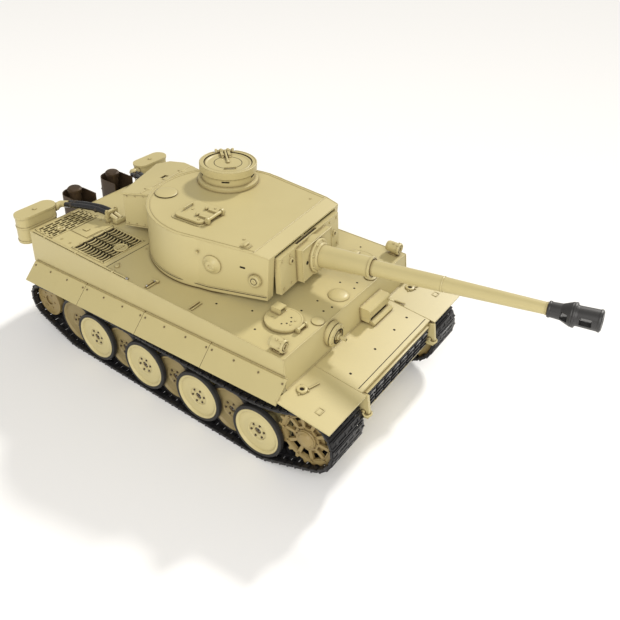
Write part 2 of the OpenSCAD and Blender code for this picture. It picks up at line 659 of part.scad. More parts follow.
// Commander's cupola: a drum with vision slits under an overhanging ring
module cupola() {
    color(sand) on_turret() translate([cupola_c[0], cupola_c[1], roof_z]) difference() {
        union() {
            cylinder(r = cupola_r, h = 3.4);
            cylinder(r = 25.3, h = 13);
            translate([0, 0, 12.5]) cylinder(r = 27.4, h = cupola_h - 12.5);
            rotate(lid_hinge_a) for (y = [-8.2, 8.2])
                hinge_lug([lid_hinge_r, y, lid_hinge_z - roof_z], 2, 2.6, cupola_h - 2);
        }
        translate([0, 0, -1]) cylinder(r = 20, h = 30);
        translate([0, 0, 15.6]) cylinder(r = 23.2, h = 10);
        for (i = [0:4]) rotate(i * 72 - 60) box([18, -3.6, 8.4], [30, 3.6, 9.8]);
        rotate(lid_hinge_a) {
            box([18, -7, 13.6], [30, 7, 25]);
            y_rod([lid_hinge_r, lid_hinge_z - roof_z], -10, 10, 1.6 + bearing_gap);
        }
    }
}
module cupola_hatch() {
    color(sand) on_turret() translate([cupola_c[0], cupola_c[1], lid_z]) {
        cylinder(r = 22.6, h = 2);
        rotate(lid_hinge_a) {
            for (y = sides) box([13, y * 3.4 - 1.4, 1.8], [25.5, y * 3.4 + 1.4, 4.4]);
            y_rod([lid_hinge_r, lid_hinge_z - lid_z], -9, 9, 1.6);
            rod([3, 0, 2], [21, 0, 5.2], 0.8);
        }
    }
}

// Loader's hatch: a flat lid with rounded corners, hinged at the front
module loader_hatch() {
    lid_z = loader_hinge_z - 3;
    color(sand) on_turret() {
        translate([0, 0, lid_z]) linear_extrude(2) loader_frame(-0.4);
        for (y = sides) box([loader_hinge_x - 11, loader_c[1] + y * 6.5 - 1.5, lid_z + 1.9],
            [loader_hinge_x + 0.5, loader_c[1] + y * 6.5 + 1.5, lid_z + 3.6]);
        y_rod([loader_hinge_x, loader_hinge_z], loader_c[1] - 11.4, loader_c[1] + 11.4, 1.5);
    }
}

// Stowage bin hung askew on the back of the turret, with a sloping lid
module stowage_bin() {
    plan = [[-114.5, 38], [-97, -32], [-66, -22], [-60, 42], [-75, 47], [-92, 52], [-107, 49]];
    cavity = [[-112, 36.5], [-95, -29], [-78, -23.5], [-78, 46], [-92, 49.6], [-106, 47]];
    centre = [-88, 12];
    bottom_z = 116;
    lid_front_z = 153;
    lid_lip = 1.3;
    lip_plan = [for (p = plan) p + lid_lip * (p - centre) / norm(p - centre)];
    color(sand) on_turret() {
        difference() {
            translate([0, 0, bottom_z]) linear_extrude(lid_front_z - bottom_z) polygon(plan);
            translate([0, 0, bottom_z + 1.6]) linear_extrude(50) polygon(cavity);
            translate([0, 0, bottom_z - 1]) cylinder(r = turret_r + 0.1, h = 50, $fn = 96);
            translate([-60, 0, lid_front_z]) rotate([0, -5, 0]) box([-70, -60, 0], [5, 60, 20]);
        }
        difference() {
            translate([-60, 0, lid_front_z]) rotate([0, -5, 0])
                linear_extrude(1.8) translate([60, 0]) polygon(lip_plan);
            translate([0, 0, bottom_z]) cylinder(r = turret_r + 0.1, h = 50, $fn = 96);
            translate([-86, 15, lid_front_z - 10]) box([-2.5, -4, 0], [2.5, 4, 20]);
        }
    }
}

// Mantlet: face plate with its thick centre, collar and sleeve, hung on two trunnion pins
module mantlet() {
    color(sand) on_gun() difference() {
        union() {
            box([10.5, -50, -15], [16, 50, 18]);
            box([15, -25, -14.5], [22.5, 25, 15.5]);
            x_rod(15, 22.5, 17.5, 17);
            x_rod(20, 26, 14.5, 13);
            x_rod(25, sleeve_end, 10, 8.4);
            // Cheeks back to the trunnions
            for (y = sides) {
                box([-4, y * 36 - 2.5, -7], [11, y * 36 + 2.5, 7]);
                y_rod([0, 0], y * 37, y * 58, stub_r);
            }
        }
        x_rod(-10, sleeve_end - 14, 6 + bearing_gap, 6 + bearing_gap);
        x_rod(sleeve_end - 14 - eps, sleeve_end + 1, 7.2, 7.2);
        for (p = [[-33, 9], [-18, 1]]) translate([0, p[0], p[1]]) x_rod(8, 30, 1.4, 1.4);
        for (y = [26, 41]) translate([0, y, 1]) x_rod(8, 30, 1, 1);
        box([12, -20, 15.8], [14.5, 14, 19]);
    }
}

// Barrel that recoils into the sleeve, and the brake screwed on its muzzle
module gun_barrel() {
    color(sand) on_gun() difference() {
        union() {
            x_rod(14, sleeve_end - 4, 6, 6);
            x_rod(sleeve_end - 4 - eps, sleeve_end + 60, 6.9, 6.4);
            x_rod(sleeve_end + 60 - eps, brake_start, 6.2, 4.7);
            x_rod(brake_start - eps, brake_start + 6, 3.8, 3.8);
        }
        x_rod(13, brake_start + 7, bore_d / 2, bore_d / 2);
    }
}
module muzzle_brake() {
    start = brake_start + 0.05;
    color(rubber_black) on_gun() difference() {
        union() {
            x_rod(start, start + 9, 5.7, 6.2);
            x_rod(start + 9 - eps, start + 16, 6.2, 9.2);
            x_rod(start + 16 - eps, start + 20, 9.2, 7.6);
            x_rod(start + 20 - eps, gun_len - 1, 7.6, 8);
            x_rod(gun_len - 1 - eps, gun_len, 8, 7);
        }
        x_rod(start - 1, gun_len + 1, bore_d / 2, bore_d / 2);
        x_rod(start - 1, start + 6, 3.85, 3.85);
        box([start + 9, -12, -3], [start + 14, 12, 3]);
        box([start + 22, -12, -3], [start + 30, 12, 3]);
    }
}

lower_hull();
upper_hull();
fenders();
engine_grilles();
exhausts();
air_cleaners();
air_hoses();
headlights();
battery();
circuit_board();
drive_motors();
radio_hatch();
driver_hatch();
bow_gun();
turret_shell();
cupola();
cupola_hatch();
loader_hatch();
stowage_bin();
mantlet();
gun_barrel();
muzzle_brake();
for (i = [0:1]) {
    track(sides[i]);
    sprocket(sides[i]);
    idler(sides[i]);
    for (k = [1:axle_n]) {
        swing_arm(sides[i], k);
        road_wheel(sides[i], k);
    }
}
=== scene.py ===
import math
import json
import bmesh
import bpy
from mathutils import Matrix, Vector


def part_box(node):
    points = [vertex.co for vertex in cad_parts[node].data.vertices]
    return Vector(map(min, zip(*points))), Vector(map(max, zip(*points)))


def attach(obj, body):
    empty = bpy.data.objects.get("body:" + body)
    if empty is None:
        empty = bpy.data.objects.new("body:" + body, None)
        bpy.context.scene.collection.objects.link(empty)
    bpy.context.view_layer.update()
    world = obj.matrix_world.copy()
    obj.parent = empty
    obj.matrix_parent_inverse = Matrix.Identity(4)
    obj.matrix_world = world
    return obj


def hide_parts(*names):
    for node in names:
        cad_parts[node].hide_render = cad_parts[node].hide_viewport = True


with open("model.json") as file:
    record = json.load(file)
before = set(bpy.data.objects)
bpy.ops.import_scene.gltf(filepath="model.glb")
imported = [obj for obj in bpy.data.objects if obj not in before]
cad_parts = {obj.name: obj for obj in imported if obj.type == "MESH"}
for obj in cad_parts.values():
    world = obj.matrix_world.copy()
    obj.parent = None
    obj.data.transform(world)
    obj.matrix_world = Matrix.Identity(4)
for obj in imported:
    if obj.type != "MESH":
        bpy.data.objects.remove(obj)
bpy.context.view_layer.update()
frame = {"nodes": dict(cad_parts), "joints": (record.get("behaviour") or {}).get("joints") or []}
nodes = frame["nodes"]
joints = {joint["name"]: joint for joint in frame["joints"]}
mm = 0.001
sides = {"right": -1, "left": 1}


# ---- Table, light and camera -------------------------------------------------
# The model stands on a white table under one hard-edged light from its left.
# White walls all round and a large panel in front fill the shaded sides.

floor_mesh = bmesh.new()
bmesh.ops.create_grid(floor_mesh, x_segments=1, y_segments=1, size=60.0)
floor_data = bpy.data.meshes.new("floor")
floor_mesh.to_mesh(floor_data)
floor_mesh.free()
floor = bpy.data.objects.new("floor", floor_data)
bpy.context.scene.collection.objects.link(floor)
floor_paper = bpy.data.materials.new("white_paper")
floor_paper.use_nodes = True
floor_shader = floor_paper.node_tree.nodes["Principled BSDF"]
floor_shader.inputs["Base Color"].default_value = (0.93, 0.93, 0.93, 1)
floor_shader.inputs["Roughness"].default_value = 0.9
floor_shader.inputs["Specular IOR Level"].default_value = 0.1
floor_data.materials.append(floor_paper)

world = bpy.data.worlds.new("studio")
bpy.context.scene.world = world
world.use_nodes = True
world.node_tree.nodes["Background"].inputs["Color"].default_value = (1.0, 0.975, 0.93, 1)
world.node_tree.nodes["Background"].inputs["Strength"].default_value = 0.42
bpy.context.scene.view_settings.view_transform = "Standard"


def turn_towards(lamp, direction):
    """Points a lamp along a direction."""
    lamp.rotation_euler = Vector(direction).to_track_quat("-Z", "Y").to_euler()
    bpy.context.scene.collection.objects.link(lamp)


key_data = bpy.data.lights.new("key", "SUN")
key_data.energy = 2.5
key_data.angle = math.radians(7)
key_data.color = (1.0, 0.97, 0.92)
turn_towards(bpy.data.objects.new("key", key_data), (0.02, -1.25, -1.0))
panel_data = bpy.data.lights.new("front_panel", "AREA")
panel_data.size = 1.3
panel_data.energy = 31
panel_data.color = (1.0, 0.98, 0.95)
panel = bpy.data.objects.new("front_panel", panel_data)
panel.location = (0.9, -1.3, 1.3)
turn_towards(panel, Vector((0, 0, 0.06)) - panel.location)

camera_place = Vector((299.3, -423.6, 443.0)) * mm
azimuth = math.radians(36.86)
elevation = math.radians(33.20)
roll = math.radians(1.39)
backward = Vector((math.sin(azimuth) * math.cos(elevation),
                   -math.cos(azimuth) * math.cos(elevation),
                   math.sin(elevation)))
level_right = Vector((math.cos(azimuth), math.sin(azimuth), 0))
level_up = backward.cross(level_right)
camera_right = level_right * math.cos(roll) + level_up * math.sin(roll)
camera_up = level_up * math.cos(roll) - level_right * math.sin(roll)
camera_turn = Matrix((camera_right, camera_up, backward)).transposed()
camera_data = bpy.data.cameras.new("camera")
camera_data.sensor_width = 36
camera_data.lens = 39.67
camera_data.shift_x = 0.0807
camera_data.shift_y = -0.0600
camera_data.clip_start = 0.01
camera = bpy.data.objects.new("camera", camera_data)
bpy.context.scene.collection.objects.link(camera)
camera.matrix_world = Matrix.Translation(camera_place) @ camera_turn.to_4x4()
bpy.context.scene.camera = camera


# ---- Sand paint ---------------------------------------------------------------
# Every outer plate is moulded plastic or sheet, sprayed with one semi-matt sand
# colour. The coat is a little uneven, its edges are softened by the spray, and painted shade darkens its
# corners and creases.

class Signal:
    """A shader socket that can be added, subtracted and multiplied."""

    def __init__(self, tree, socket):
        self.tree = tree
        self.socket = socket

    def node(self, kind, settings=None, out=0, **inputs):
        made = self.tree.nodes.new(kind)
        for name, value in (settings or {}).items():
            if name == "stops":
                ramp = made.color_ramp.elements
                ramp[0].position, ramp[0].color = value[0]
                ramp[1].position, ramp[1].color = value[1]
            else:
                setattr(made, name, value)
        for name, value in inputs.items():
            key = int(name[1:]) if name[0] == "i" and name[1:].isdigit() else name.replace("_", " ")
            if isinstance(value, Signal):
                self.tree.links.new(value.socket, made.inputs[key])
            else:
                made.inputs[key].default_value = value
        return Signal(self.tree, made.outputs[out])

    def math(self, operation, first, second):
        return self.node("ShaderNodeMath", {"operation": operation}, i0=first, i1=second)

    def __add__(self, other):
        return self.math("ADD", self, other)

    def __radd__(self, other):
        return self.math("ADD", other, self)

    def __sub__(self, other):
        return self.math("SUBTRACT", self, other)

    def __rsub__(self, other):
        return self.math("SUBTRACT", other, self)

    def __mul__(self, other):
        return self.math("MULTIPLY", self, other)

    def __rmul__(self, other):
        return self.math("MULTIPLY", other, self)

    def noise(self, scale, detail=2.0):
        return self.node("ShaderNodeTexNoise", Vector=self, Scale=scale, Detail=detail)

    def mix(self, first, second):
        return self.node("ShaderNodeMix", {"data_type": "RGBA"}, out=2, i0=self, i6=first, i7=second)


def finish_of(name, **fixed):
    """A new material. Returns it, its shader's inputs by name, and its Object coordinates."""
    material = bpy.data.materials.new(name)
    material.use_nodes = True
    tree = material.node_tree
    shader = tree.nodes["Principled BSDF"]
    for key, value in fixed.items():
        shader.inputs[key.replace("_", " ")].default_value = value
    coordinates = tree.nodes.new("ShaderNodeTexCoord")

    def drive(key, signal):
        tree.links.new(signal.socket, shader.inputs[key])

    return material, drive, Signal(tree, coordinates.outputs["Object"])


def painted(name, light, dark, roughness, edge=0.35 * mm):
    """A sprayed coat: a cloudy tone, a fine orange-peel bump, soft edges and painted shade darkening its
    corners.
    """
    material, drive, place = finish_of(name, Specular_IOR_Level=0.35)
    cloud = place.noise(28.0, 3.0)
    speck = place.noise(900.0, 2.0)
    tone = cloud * 0.75 + speck * 0.25
    coat = tone.mix((*dark, 1), (*light, 1))
    # Painted shade: where the ambient-occlusion mask finds a corner or crease, the coat turns dark brown,
    # standing in for the shade that falls there.
    crevice_shade_colour = (dark[0] * 0.30, dark[1] * 0.22, dark[2] * 0.16, 1)
    crevice_shade_mask = place.node("ShaderNodeAmbientOcclusion", {"samples": 6}, out=1, Distance=3.2 * mm)
    drive("Base Color", (crevice_shade_mask * 1.7 - 0.55).mix(crevice_shade_colour, coat))
    drive("Roughness", cloud * 0.12 + (roughness - 0.06))
    soft = place.node("ShaderNodeBevel", {"samples": 4}, Radius=edge)
    bump = place.node("ShaderNodeBump", Strength=0.10, Distance=0.0002, Height=speck, Normal=soft)
    drive("Normal", bump)
    return material


def repaint(material, *names):
    """Gives CAD nodes a material in every slot."""
    for name in names:
        data = nodes[name].data
        for index in range(len(data.materials)):
            data.materials[index] = material


sand = painted("sand_paint", (0.53, 0.455, 0.225), (0.47, 0.40, 0.192), 0.40)
repaint(sand, "lower_hull", "upper_hull", "fenders", "air_cleaners", "headlights", "radio_hatch",
        "driver_hatch", "bow_gun", "turret_shell", "cupola", "cupola_hatch", "loader_hatch",
        "stowage_bin", "mantlet", "gun_barrel")


# ---- Deck and superstructure trim ---------------------------------------------
# The superstructure is a moulding closed with screws. Their sunk heads are drawn as
# dark dots of painted shade, and the plates' joints are marked by raised weld seams.

def block(bm, low, high, edge=0.0):
    """A box between two corners in millimetres, with softened edges."""
    low = Vector(low) * mm
    high = Vector(high) * mm
    made = bmesh.ops.create_cube(bm, size=1.0)["verts"]
    bmesh.ops.scale(bm, vec=high - low, verts=made)
    bmesh.ops.translate(bm, vec=(low + high) / 2, verts=made)
    if edge:
        sharp = list({e for v in made for e in v.link_edges})
        bmesh.ops.bevel(bm, geom=sharp, offset=edge * mm, segments=2, profile=0.5,
                        affect="EDGES", material=-1)


def drum(bm, foot, head, radius, head_radius=None, steps=24, edge=0.0):
    """A round bar or cone between two points in millimetres, with softened rims."""
    foot = Vector(foot) * mm
    head = Vector(head) * mm
    along = head - foot
    turn = along.to_track_quat("Z", "Y").to_matrix().to_4x4()
    made = bmesh.ops.create_cone(
        bm, cap_ends=True, segments=steps, radius1=radius * mm,
        radius2=(radius if head_radius is None else head_radius) * mm, depth=along.length,
        matrix=Matrix.Translation((foot + head) / 2) @ turn)["verts"]
    if edge:
        rims = [e for e in {e for v in made for e in v.link_edges}
                if any(len(f.verts) > 4 for f in e.link_faces)]
        bmesh.ops.bevel(bm, geom=rims, offset=edge * mm, segments=2, profile=0.5,
                        affect="EDGES", material=-1)


def bead(bm, points, radius, steps=8):
    """A round bead that follows points in millimetres."""
    for first, second in zip(points, points[1:]):
        drum(bm, first, second, radius, steps=steps)
    for point in points[1:-1]:
        bmesh.ops.create_uvsphere(bm, u_segments=steps, v_segments=6, radius=radius * mm,
                                  matrix=Matrix.Translation(Vector(point) * mm))


def lathe(bm, profile, centre, axis, steps=48):
    """A closed profile of (radius, height) in mm, spun about an axis through a centre."""
    own = bmesh.new()
    ring = [own.verts.new((radius * mm, 0, height * mm)) for radius, height in profile]
    loop = [own.edges.new(pair) for pair in zip(ring, ring[1:] + ring[:1])]
    bmesh.ops.spin(own, geom=ring + loop, cent=(0, 0, 0), axis=(0, 0, 1), angle=2 * math.pi,
                   steps=steps, use_merge=True)
    bmesh.ops.remove_doubles(own, verts=own.verts, dist=1e-7)
    bmesh.ops.recalc_face_normals(own, faces=own.faces)
    turn = Vector(axis).to_track_quat("Z", "Y").to_matrix().to_4x4()
    own.transform(Matrix.Translation(Vector(centre) * mm) @ turn)
    join(bm, own)


def join(bm, other):
    """Moves another bmesh's faces into this one."""
    scratch = bpy.data.meshes.new("scratch")
    other.to_mesh(scratch)
    other.free()
    bm.from_mesh(scratch)
    bpy.data.meshes.remove(scratch)


def prism(bm, outline, low, high, axis="y"):
    """An outline of (x, z), or (x, y) for axis z, or (y, z) for axis x, drawn out in mm."""
    order = {"x": lambda a, b: (low, a, b),
             "y": lambda a, b: (a, low, b),
             "z": lambda a, b: (a, b, low)}
    verts = [bm.verts.new(Vector(order[axis](a, b)) * mm) for a, b in outline]
    face = bm.faces.new(verts)
    grown = bmesh.ops.extrude_face_region(bm, geom=[face])["geom"]
    shift = Vector({"x": (1, 0, 0), "y": (0, 1, 0), "z": (0, 0, 1)}[axis]) * (high - low) * mm
    moved = [v for v in grown if isinstance(v, bmesh.types.BMVert)]
    bmesh.ops.translate(bm, vec=shift, verts=moved)
    bmesh.ops.recalc_face_normals(bm, faces=bm.faces)


def piece(bm, name, material, body, stands_for=(), place=None, crease=32):
    """Turns a bmesh into a finished piece that rides on a body."""
    if place is not None:
        bm.transform(place)
    bmesh.ops.recalc_face_normals(bm, faces=bm.faces)
    data = bpy.data.meshes.new(name)
    bm.to_mesh(data)
    bm.free()
    data.materials.append(material)
    data.shade_smooth()
    data.set_sharp_from_angle(angle=math.radians(crease))
    made = bpy.data.objects.new(name, data)
    bpy.context.scene.collection.objects.link(made)
    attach(made, body)
    if stands_for:
        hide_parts(*stands_for)
    return made


def circle(count, radius, first=0.0):
    """Evenly spaced points on a circle, from a first angle in degrees."""
    angles = [math.radians(360 / count * index + first) for index in range(count)]
    return [(radius * math.cos(angle), radius * math.sin(angle)) for angle in angles]


def glacis_z(x):
    """Height of the sloping front plate, and of the mudguards beside it, at a distance forward."""
    return nose_z + (nose_x - x) * (foot_z - nose_z) / (nose_x - foot_x)


hull_low, hull_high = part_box("upper_hull")
deck_z = 108.5
wall_y = hull_high.y / mm
deck_rear = hull_low.x / mm
deck_front = 79.0
foot_x, foot_z = 83.5, 80.5
nose_x, nose_z = 128.0, 76.6
glacis_y = 60.0
glacis_screw_x = 110.6
deck_screws = ((22.7, 64), (39.5, 82), (54, 38), (71, 18), (73, 37), (68.5, -27), (-6.7, 75), (56.5, 18))
edge_screws = (-215, -150, -100)
panel_y, panel_half = 56.0, 17.0

# A flat near-black used as painted shade: thin dark pieces laid into holes, slits, gaps and grooves stand
# for the shade inside them.
recess_shade = finish_of("painted_recess_shade", Roughness=0.75, Specular_IOR_Level=0.2,
                   Base_Color=(0.018, 0.013, 0.009, 1))[0]

# Painted shade: a dark disc in each screw hole.
screw_hole_shade = bmesh.new()
for x, y in deck_screws:
    for side in (-1, 1):
        drum(screw_hole_shade, (x, side * y, deck_z - 0.3), (x, side * y, deck_z + 0.12), 0.95, steps=14)
for y in (-48, -8.6, 25, 48):
    z = glacis_z(glacis_screw_x)
    drum(screw_hole_shade, (glacis_screw_x, y, z - 0.3), (glacis_screw_x, y, z + 0.14), 1.1, steps=14)
for x in edge_screws:
    for side in (-1, 1):
        drum(screw_hole_shade, (x, side * 95.5, deck_z - 0.3), (x, side * 95.5, deck_z + 0.12), 0.8, steps=12)
piece(screw_hole_shade, "deck_screw_hole_shade", recess_shade, "hull")

seams = bmesh.new()
for side in (-1, 1):
    corner = side * wall_y
    bead(seams, [(deck_rear + 0.3, corner, deck_z), (deck_front, corner, deck_z)], 0.42)
    bead(seams, [(deck_front, corner, deck_z), (foot_x, corner, foot_z + 1)], 0.5)
    bead(seams, [(foot_x + 0.2, side * glacis_y, foot_z), (nose_x, side * glacis_y, nose_z)], 0.35)
bead(seams, [(deck_front, -wall_y, deck_z), (deck_front, wall_y, deck_z)], 0.45)
bead(seams, [(foot_x, -wall_y, foot_z + 0.1), (foot_x, wall_y, foot_z + 0.1)], 0.5)
bead(seams, [(deck_rear, -wall_y, deck_z), (deck_rear, wall_y, deck_z)], 0.4)
piece(seams, "hull_weld_seams", sand, "hull")

grooves = bmesh.new()
block(grooves, (-120.4, -97.5, deck_z - 0.4), (-119.7, 97.5, deck_z + 0.06))
for side in (-1, 1):
    for x0, x1 in ((-197, -196.4), (-172.4, -171.9)):
        block(grooves, (x0, side * panel_y - panel_half, deck_z - 0.4),
              (x1, side * panel_y + panel_half, deck_z + 0.06))
block(grooves, (nose_x - 4.2, -58, nose_z + 0.1), (nose_x - 3.6, 58, nose_z + 0.45))
piece(grooves, "deck_joint_lines", recess_shade, "hull")


# ---- Deck tools and fittings --------------------------------------------------
# Tool clips, a cleaning rod along each deck edge, the fuel filler caps and the
# forward ventilator are small mouldings fixed on the deck.

def steel_finish(name, colour, roughness):
    """Bare metal with a fine grain in its tone and its polish."""
    material, drive_steel, place = finish_of(name, Metallic=1.0)
    grain = place.noise(350.0, 3.0)
    drive_steel("Roughness", grain * 0.25 + (roughness - 0.12))
    drive_steel("Base Color", grain.mix((*[c * 0.8 for c in colour], 1), (*colour, 1)))
    return material


bare_metal = steel_finish("bare_metal", (0.62, 0.60, 0.56), 0.32)
dark_iron = steel_finish("dark_iron", (0.16, 0.14, 0.12), 0.5)

deck_edge = 96.6
rod_stop = -92.0
clip_x, clip_y = -69.0, 89.5
fittings = bmesh.new()
for side in (-1, 1):
    for x in (clip_x - 1.5, clip_x + 1.5):
        block(fittings, (x, side * clip_y - 6.5, deck_z - 0.2),
              (x + 1.1, side * clip_y + 6.5, deck_z + 1.4), 0.3)
    block(fittings, (-71.5, side * 83.5 - 1.2, deck_z - 0.2), (-65.5, side * 83.5 + 1.2, deck_z + 2.4), 0.4)
    for x in (-19.5, -16.8):
        block(fittings, (x, side * 88.8 - 6.5, deck_z - 0.2),
              (x + 1.0, side * 88.8 + 6.5, deck_z + 1.3), 0.3)
    rod_ends = [(x, side * deck_edge, deck_z + 0.7) for x in (deck_rear + 4, rod_stop)]
    bead(fittings, rod_ends, 0.85, 10)
    for x in (-205, -160, -110):
        block(fittings, (x, side * deck_edge - 1.5, deck_z - 0.2),
              (x + 2.2, side * deck_edge + 1.5, deck_z + 1.7), 0.3)
    drum(fittings, (-113, side * 88, deck_z - 0.2), (-113, side * 88, deck_z + 1.5), 2.6, 2.2, 20, 0.4)
    for x, y, radius in ((-134, 64, 7.0), (-206, 76, 4.2)):
        lathe(fittings, [(0.01, 0), (radius, 0), (radius, 1.0), (radius - 0.9, 1.5), (radius - 1.8, 1.1),
                         (radius - 2.4, 0.7), (0.01, 0.9)], (x, side * y, deck_z), (0, 0, 1), 32)
        block(fittings, (x - 0.5, side * y - radius + 2.6, deck_z + 0.6),
              (x + 0.5, side * y + radius - 2.6, deck_z + 1.4), 0.2)
    lathe(fittings, [(0.01, 0), (5.4, 0), (5.4, 0.9), (0.01, 1.6)], (72.9, side * 42, deck_z), (0, 0, 1), 24)
lathe(fittings, [(0.01, -0.5), (9.3, -0.5), (9.2, 0.6), (8.2, 1.6), (5.5, 2.3), (0.01, 2.6)],
      (66.2, 0, deck_z), (0, 0, 1), 40)
piece(fittings, "deck_fittings", sand, "hull")

clips = bmesh.new()
for side in (-1, 1):
    for y in (84.5, 94):
        drum(clips, (clip_x, side * y, deck_z + 1.2), (clip_x, side * y, deck_z + 2.1), 1.1, 0.8, 12, 0.15)
    drum(clips, (rod_stop, side * deck_edge, deck_z + 0.7),
         (rod_stop + 2.5, side * deck_edge, deck_z + 0.7), 1.2, 1.0, 12, 0.2)
piece(clips, "tool_clip_pins", bare_metal, "hull")

socket_x, socket_y = 92.0, 89.6
guards = bmesh.new()
for side in (-1, 1):
    ring_x, ring_y = socket_x, side * socket_y
    ring_z = glacis_z(ring_x)
    lathe(guards, [(1.9, 0), (4.6, 0), (4.3, 1.4), (2.6, 1.7), (1.9, 1.2)],
          (ring_x, ring_y, ring_z), (0, 0, 1), 28)
    drum(guards, (ring_x + 3.5, ring_y + 4, ring_z + 0.7),
         (ring_x + 6.5, ring_y + 15, ring_z + 0.5), 0.55, steps=8)
    for dx, dy in ((4.6, 2.2), (1.2, -5.6), (-3.4, 4.4)):
        drum(guards, (ring_x + dx, ring_y + dy, ring_z - 0.1),
             (ring_x + dx, ring_y + dy, ring_z + 0.9), 0.9, 0.7, 10)
    frame_x, frame_y = 114.5, side * 98.5
    frame_z = glacis_z(frame_x)
    for dy in (-3.2, 3.2):
        block(guards, (frame_x - 2.2, frame_y + dy - 0.35, frame_z - 0.1),
              (frame_x + 2.2, frame_y + dy + 0.35, frame_z + 0.4), 0.1)
    for dx in (-2.2, 2.2):
        block(guards, (frame_x + dx - 0.35, frame_y - 3.5, frame_z - 0.1),
              (frame_x + dx + 0.35, frame_y + 3.5, frame_z + 0.4), 0.1)
drum(guards, (91, 61.5, 80.5), (101, 63.2, 80.2), 0.8, 0.6, 10)
piece(guards, "mudguard_fittings", sand, "hull")

# Painted shade: a dark disc inside each socket ring stands for the hole's shade.
socket_shade = bmesh.new()
for side in (-1, 1):
    drum(socket_shade, (socket_x, side * socket_y, 79.5), (socket_x, side * socket_y, 80.3), 1.95, steps=20)
piece(socket_shade, "mudguard_socket_shade", recess_shade, "hull")


# ---- Side fenders --------------------------------------------------------------
# Four pressed sheets a side, each held by a strip of small bolts along its top
# edge and two beside each joint.

fender_rear_x, fender_rear_z = -222.0, 76.4
fender_front_x, fender_front_z = 85.0, 92.0
panel_count = 4
drop = 14 / 15
bolt_reach = 4.6


def fender_z(x):
    """Height of the fenders' top edge, which rises to the front."""
    slope = (fender_front_z - fender_rear_z) / (fender_front_x - fender_rear_x)
    return fender_rear_z + (x - fender_rear_x) * slope


strips = bmesh.new()
bolts = bmesh.new()
panel = (fender_front_x - fender_rear_x) / panel_count
across = Vector((0, drop, 1)).normalized()
for side in (-1, 1):
    for index in range(panel_count):
        start = fender_rear_x + index * panel + 0.6
        stop = start + panel - 1.4
        ends = [(x, side * (wall_y + 0.35), fender_z(x) + 0.7) for x in (start, stop)]
        bead(strips, ends, 0.55, 8)
        for share in (0.04, 0.34, 0.66, 0.96):
            x = start + share * panel
            lowered = (bolt_reach - 2.2) * drop * 1.12
            foot = Vector((x, wall_y + bolt_reach, fender_z(x) + 0.35 - lowered))
            head = foot + across * 0.9
            drum(bolts, (foot.x, side * foot.y, foot.z), (head.x, side * head.y, head.z), 1.0, 0.75, 10)
piece(strips, "fender_top_strips", sand, "hull")
fender_bronze = painted("bolt_paint", (0.20, 0.15, 0.075), (0.12, 0.09, 0.045), 0.5)
piece(bolts, "fender_bolts", fender_bronze, "hull")


# ---- Engine deck grilles -------------------------------------------------------
# Cast grilles over the cooling fans and radiators: staggered slots at the rear
# and bowed bars ahead of them, over a dark sheet of painted shade below.

grille_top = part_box("engine_grilles")[1].z / mm
frames = ((-224.5, -197.5, 35, 94), (-171, -126, 40, 93))
slots_x, slots_y, slots_half = -222.9, 64.5, 28.0
slot_rows, slot_columns = 7, 6
row_pitch = 24 / slot_rows
slot_pitch = 56 / (slot_columns - 1)
bars_x, bars_end, bars_y = -169.4, -127.6, 66.5
bars, bar_half, bar_bow = 10, 5.9, 1.5
bar_pitch = 41.8 / bars
grilles = bmesh.new()
# Painted shade: a dark sheet under each grille stands for the shaded space beneath it.
grille_shade_sheets = bmesh.new()
for side in (-1, 1):
    for x0, x1, y0, y1 in frames:
        y_low, y_high = sorted((side * y0, side * y1))
        block(grille_shade_sheets, (x0 + 1.7, y_low + 1.7, grille_top - 2.2), (x1 - 1.7, y_high - 1.7, grille_top - 1.6))
    centre_y = side * slots_y
    for row in range(slot_rows + 1):
        x = slots_x + row * row_pitch
        block(grilles, (x - 0.55, centre_y - slots_half, grille_top - 1.0),
              (x + 0.55, centre_y + slots_half, grille_top + 0.1), 0.2)
    for row in range(slot_rows):
        for column in range(slot_columns):
            y = centre_y + (column - 2.5 + (row % 2) * 0.5 - 0.25) * slot_pitch
            y = max(centre_y - slots_half + 1, min(centre_y + slots_half - 1, y))
            x = slots_x + row * row_pitch
            block(grilles, (x, y - 1.15, grille_top - 1.0),
                  (x + row_pitch, y + 1.15, grille_top + 0.12), 0.15)
    for column in range(4):
        middle = side * bars_y + (column - 1.5) * 12.6
        for row in range(bars + 1):
            x = bars_x + row * bar_pitch
            made = bmesh.new()
            block(made, (x - 0.68, middle - bar_half, grille_top - 1.0),
                  (x + 0.68, middle + bar_half, grille_top + 0.1))
            long_edges = [e for e in made.edges if abs(e.verts[0].co.y - e.verts[1].co.y) > 5 * mm]
            bmesh.ops.subdivide_edges(made, edges=long_edges, cuts=7, use_grid_fill=True)
            if 0 < row < bars:
                for vert in made.verts:
                    share = (vert.co.y / mm - middle) / bar_half
                    vert.co.x += bar_bow * mm * (1 - share * share)
            join(grilles, made)
        for edge_y in (middle - 6.3, middle + 6.3):
            block(grilles, (bars_x, edge_y - 0.75, grille_top - 1.0),
                  (bars_end, edge_y + 0.75, grille_top + 0.3), 0.2)
    for x0, x1, y0, y1 in frames:
        y_low, y_high = sorted((side * y0, side * y1))
        for y in (y_low + 1.0, y_high - 1.0):
            block(grilles, (x0 + 0.4, y - 0.9, grille_top - 1.8),
                  (x1 - 0.4, y + 0.9, grille_top + 0.35), 0.2)
        for x in (x0 + 1.0, x1 - 1.0):
            block(grilles, (x - 0.9, y_low + 0.4, grille_top - 1.8),
                  (x + 0.9, y_high - 0.4, grille_top + 0.35), 0.2)
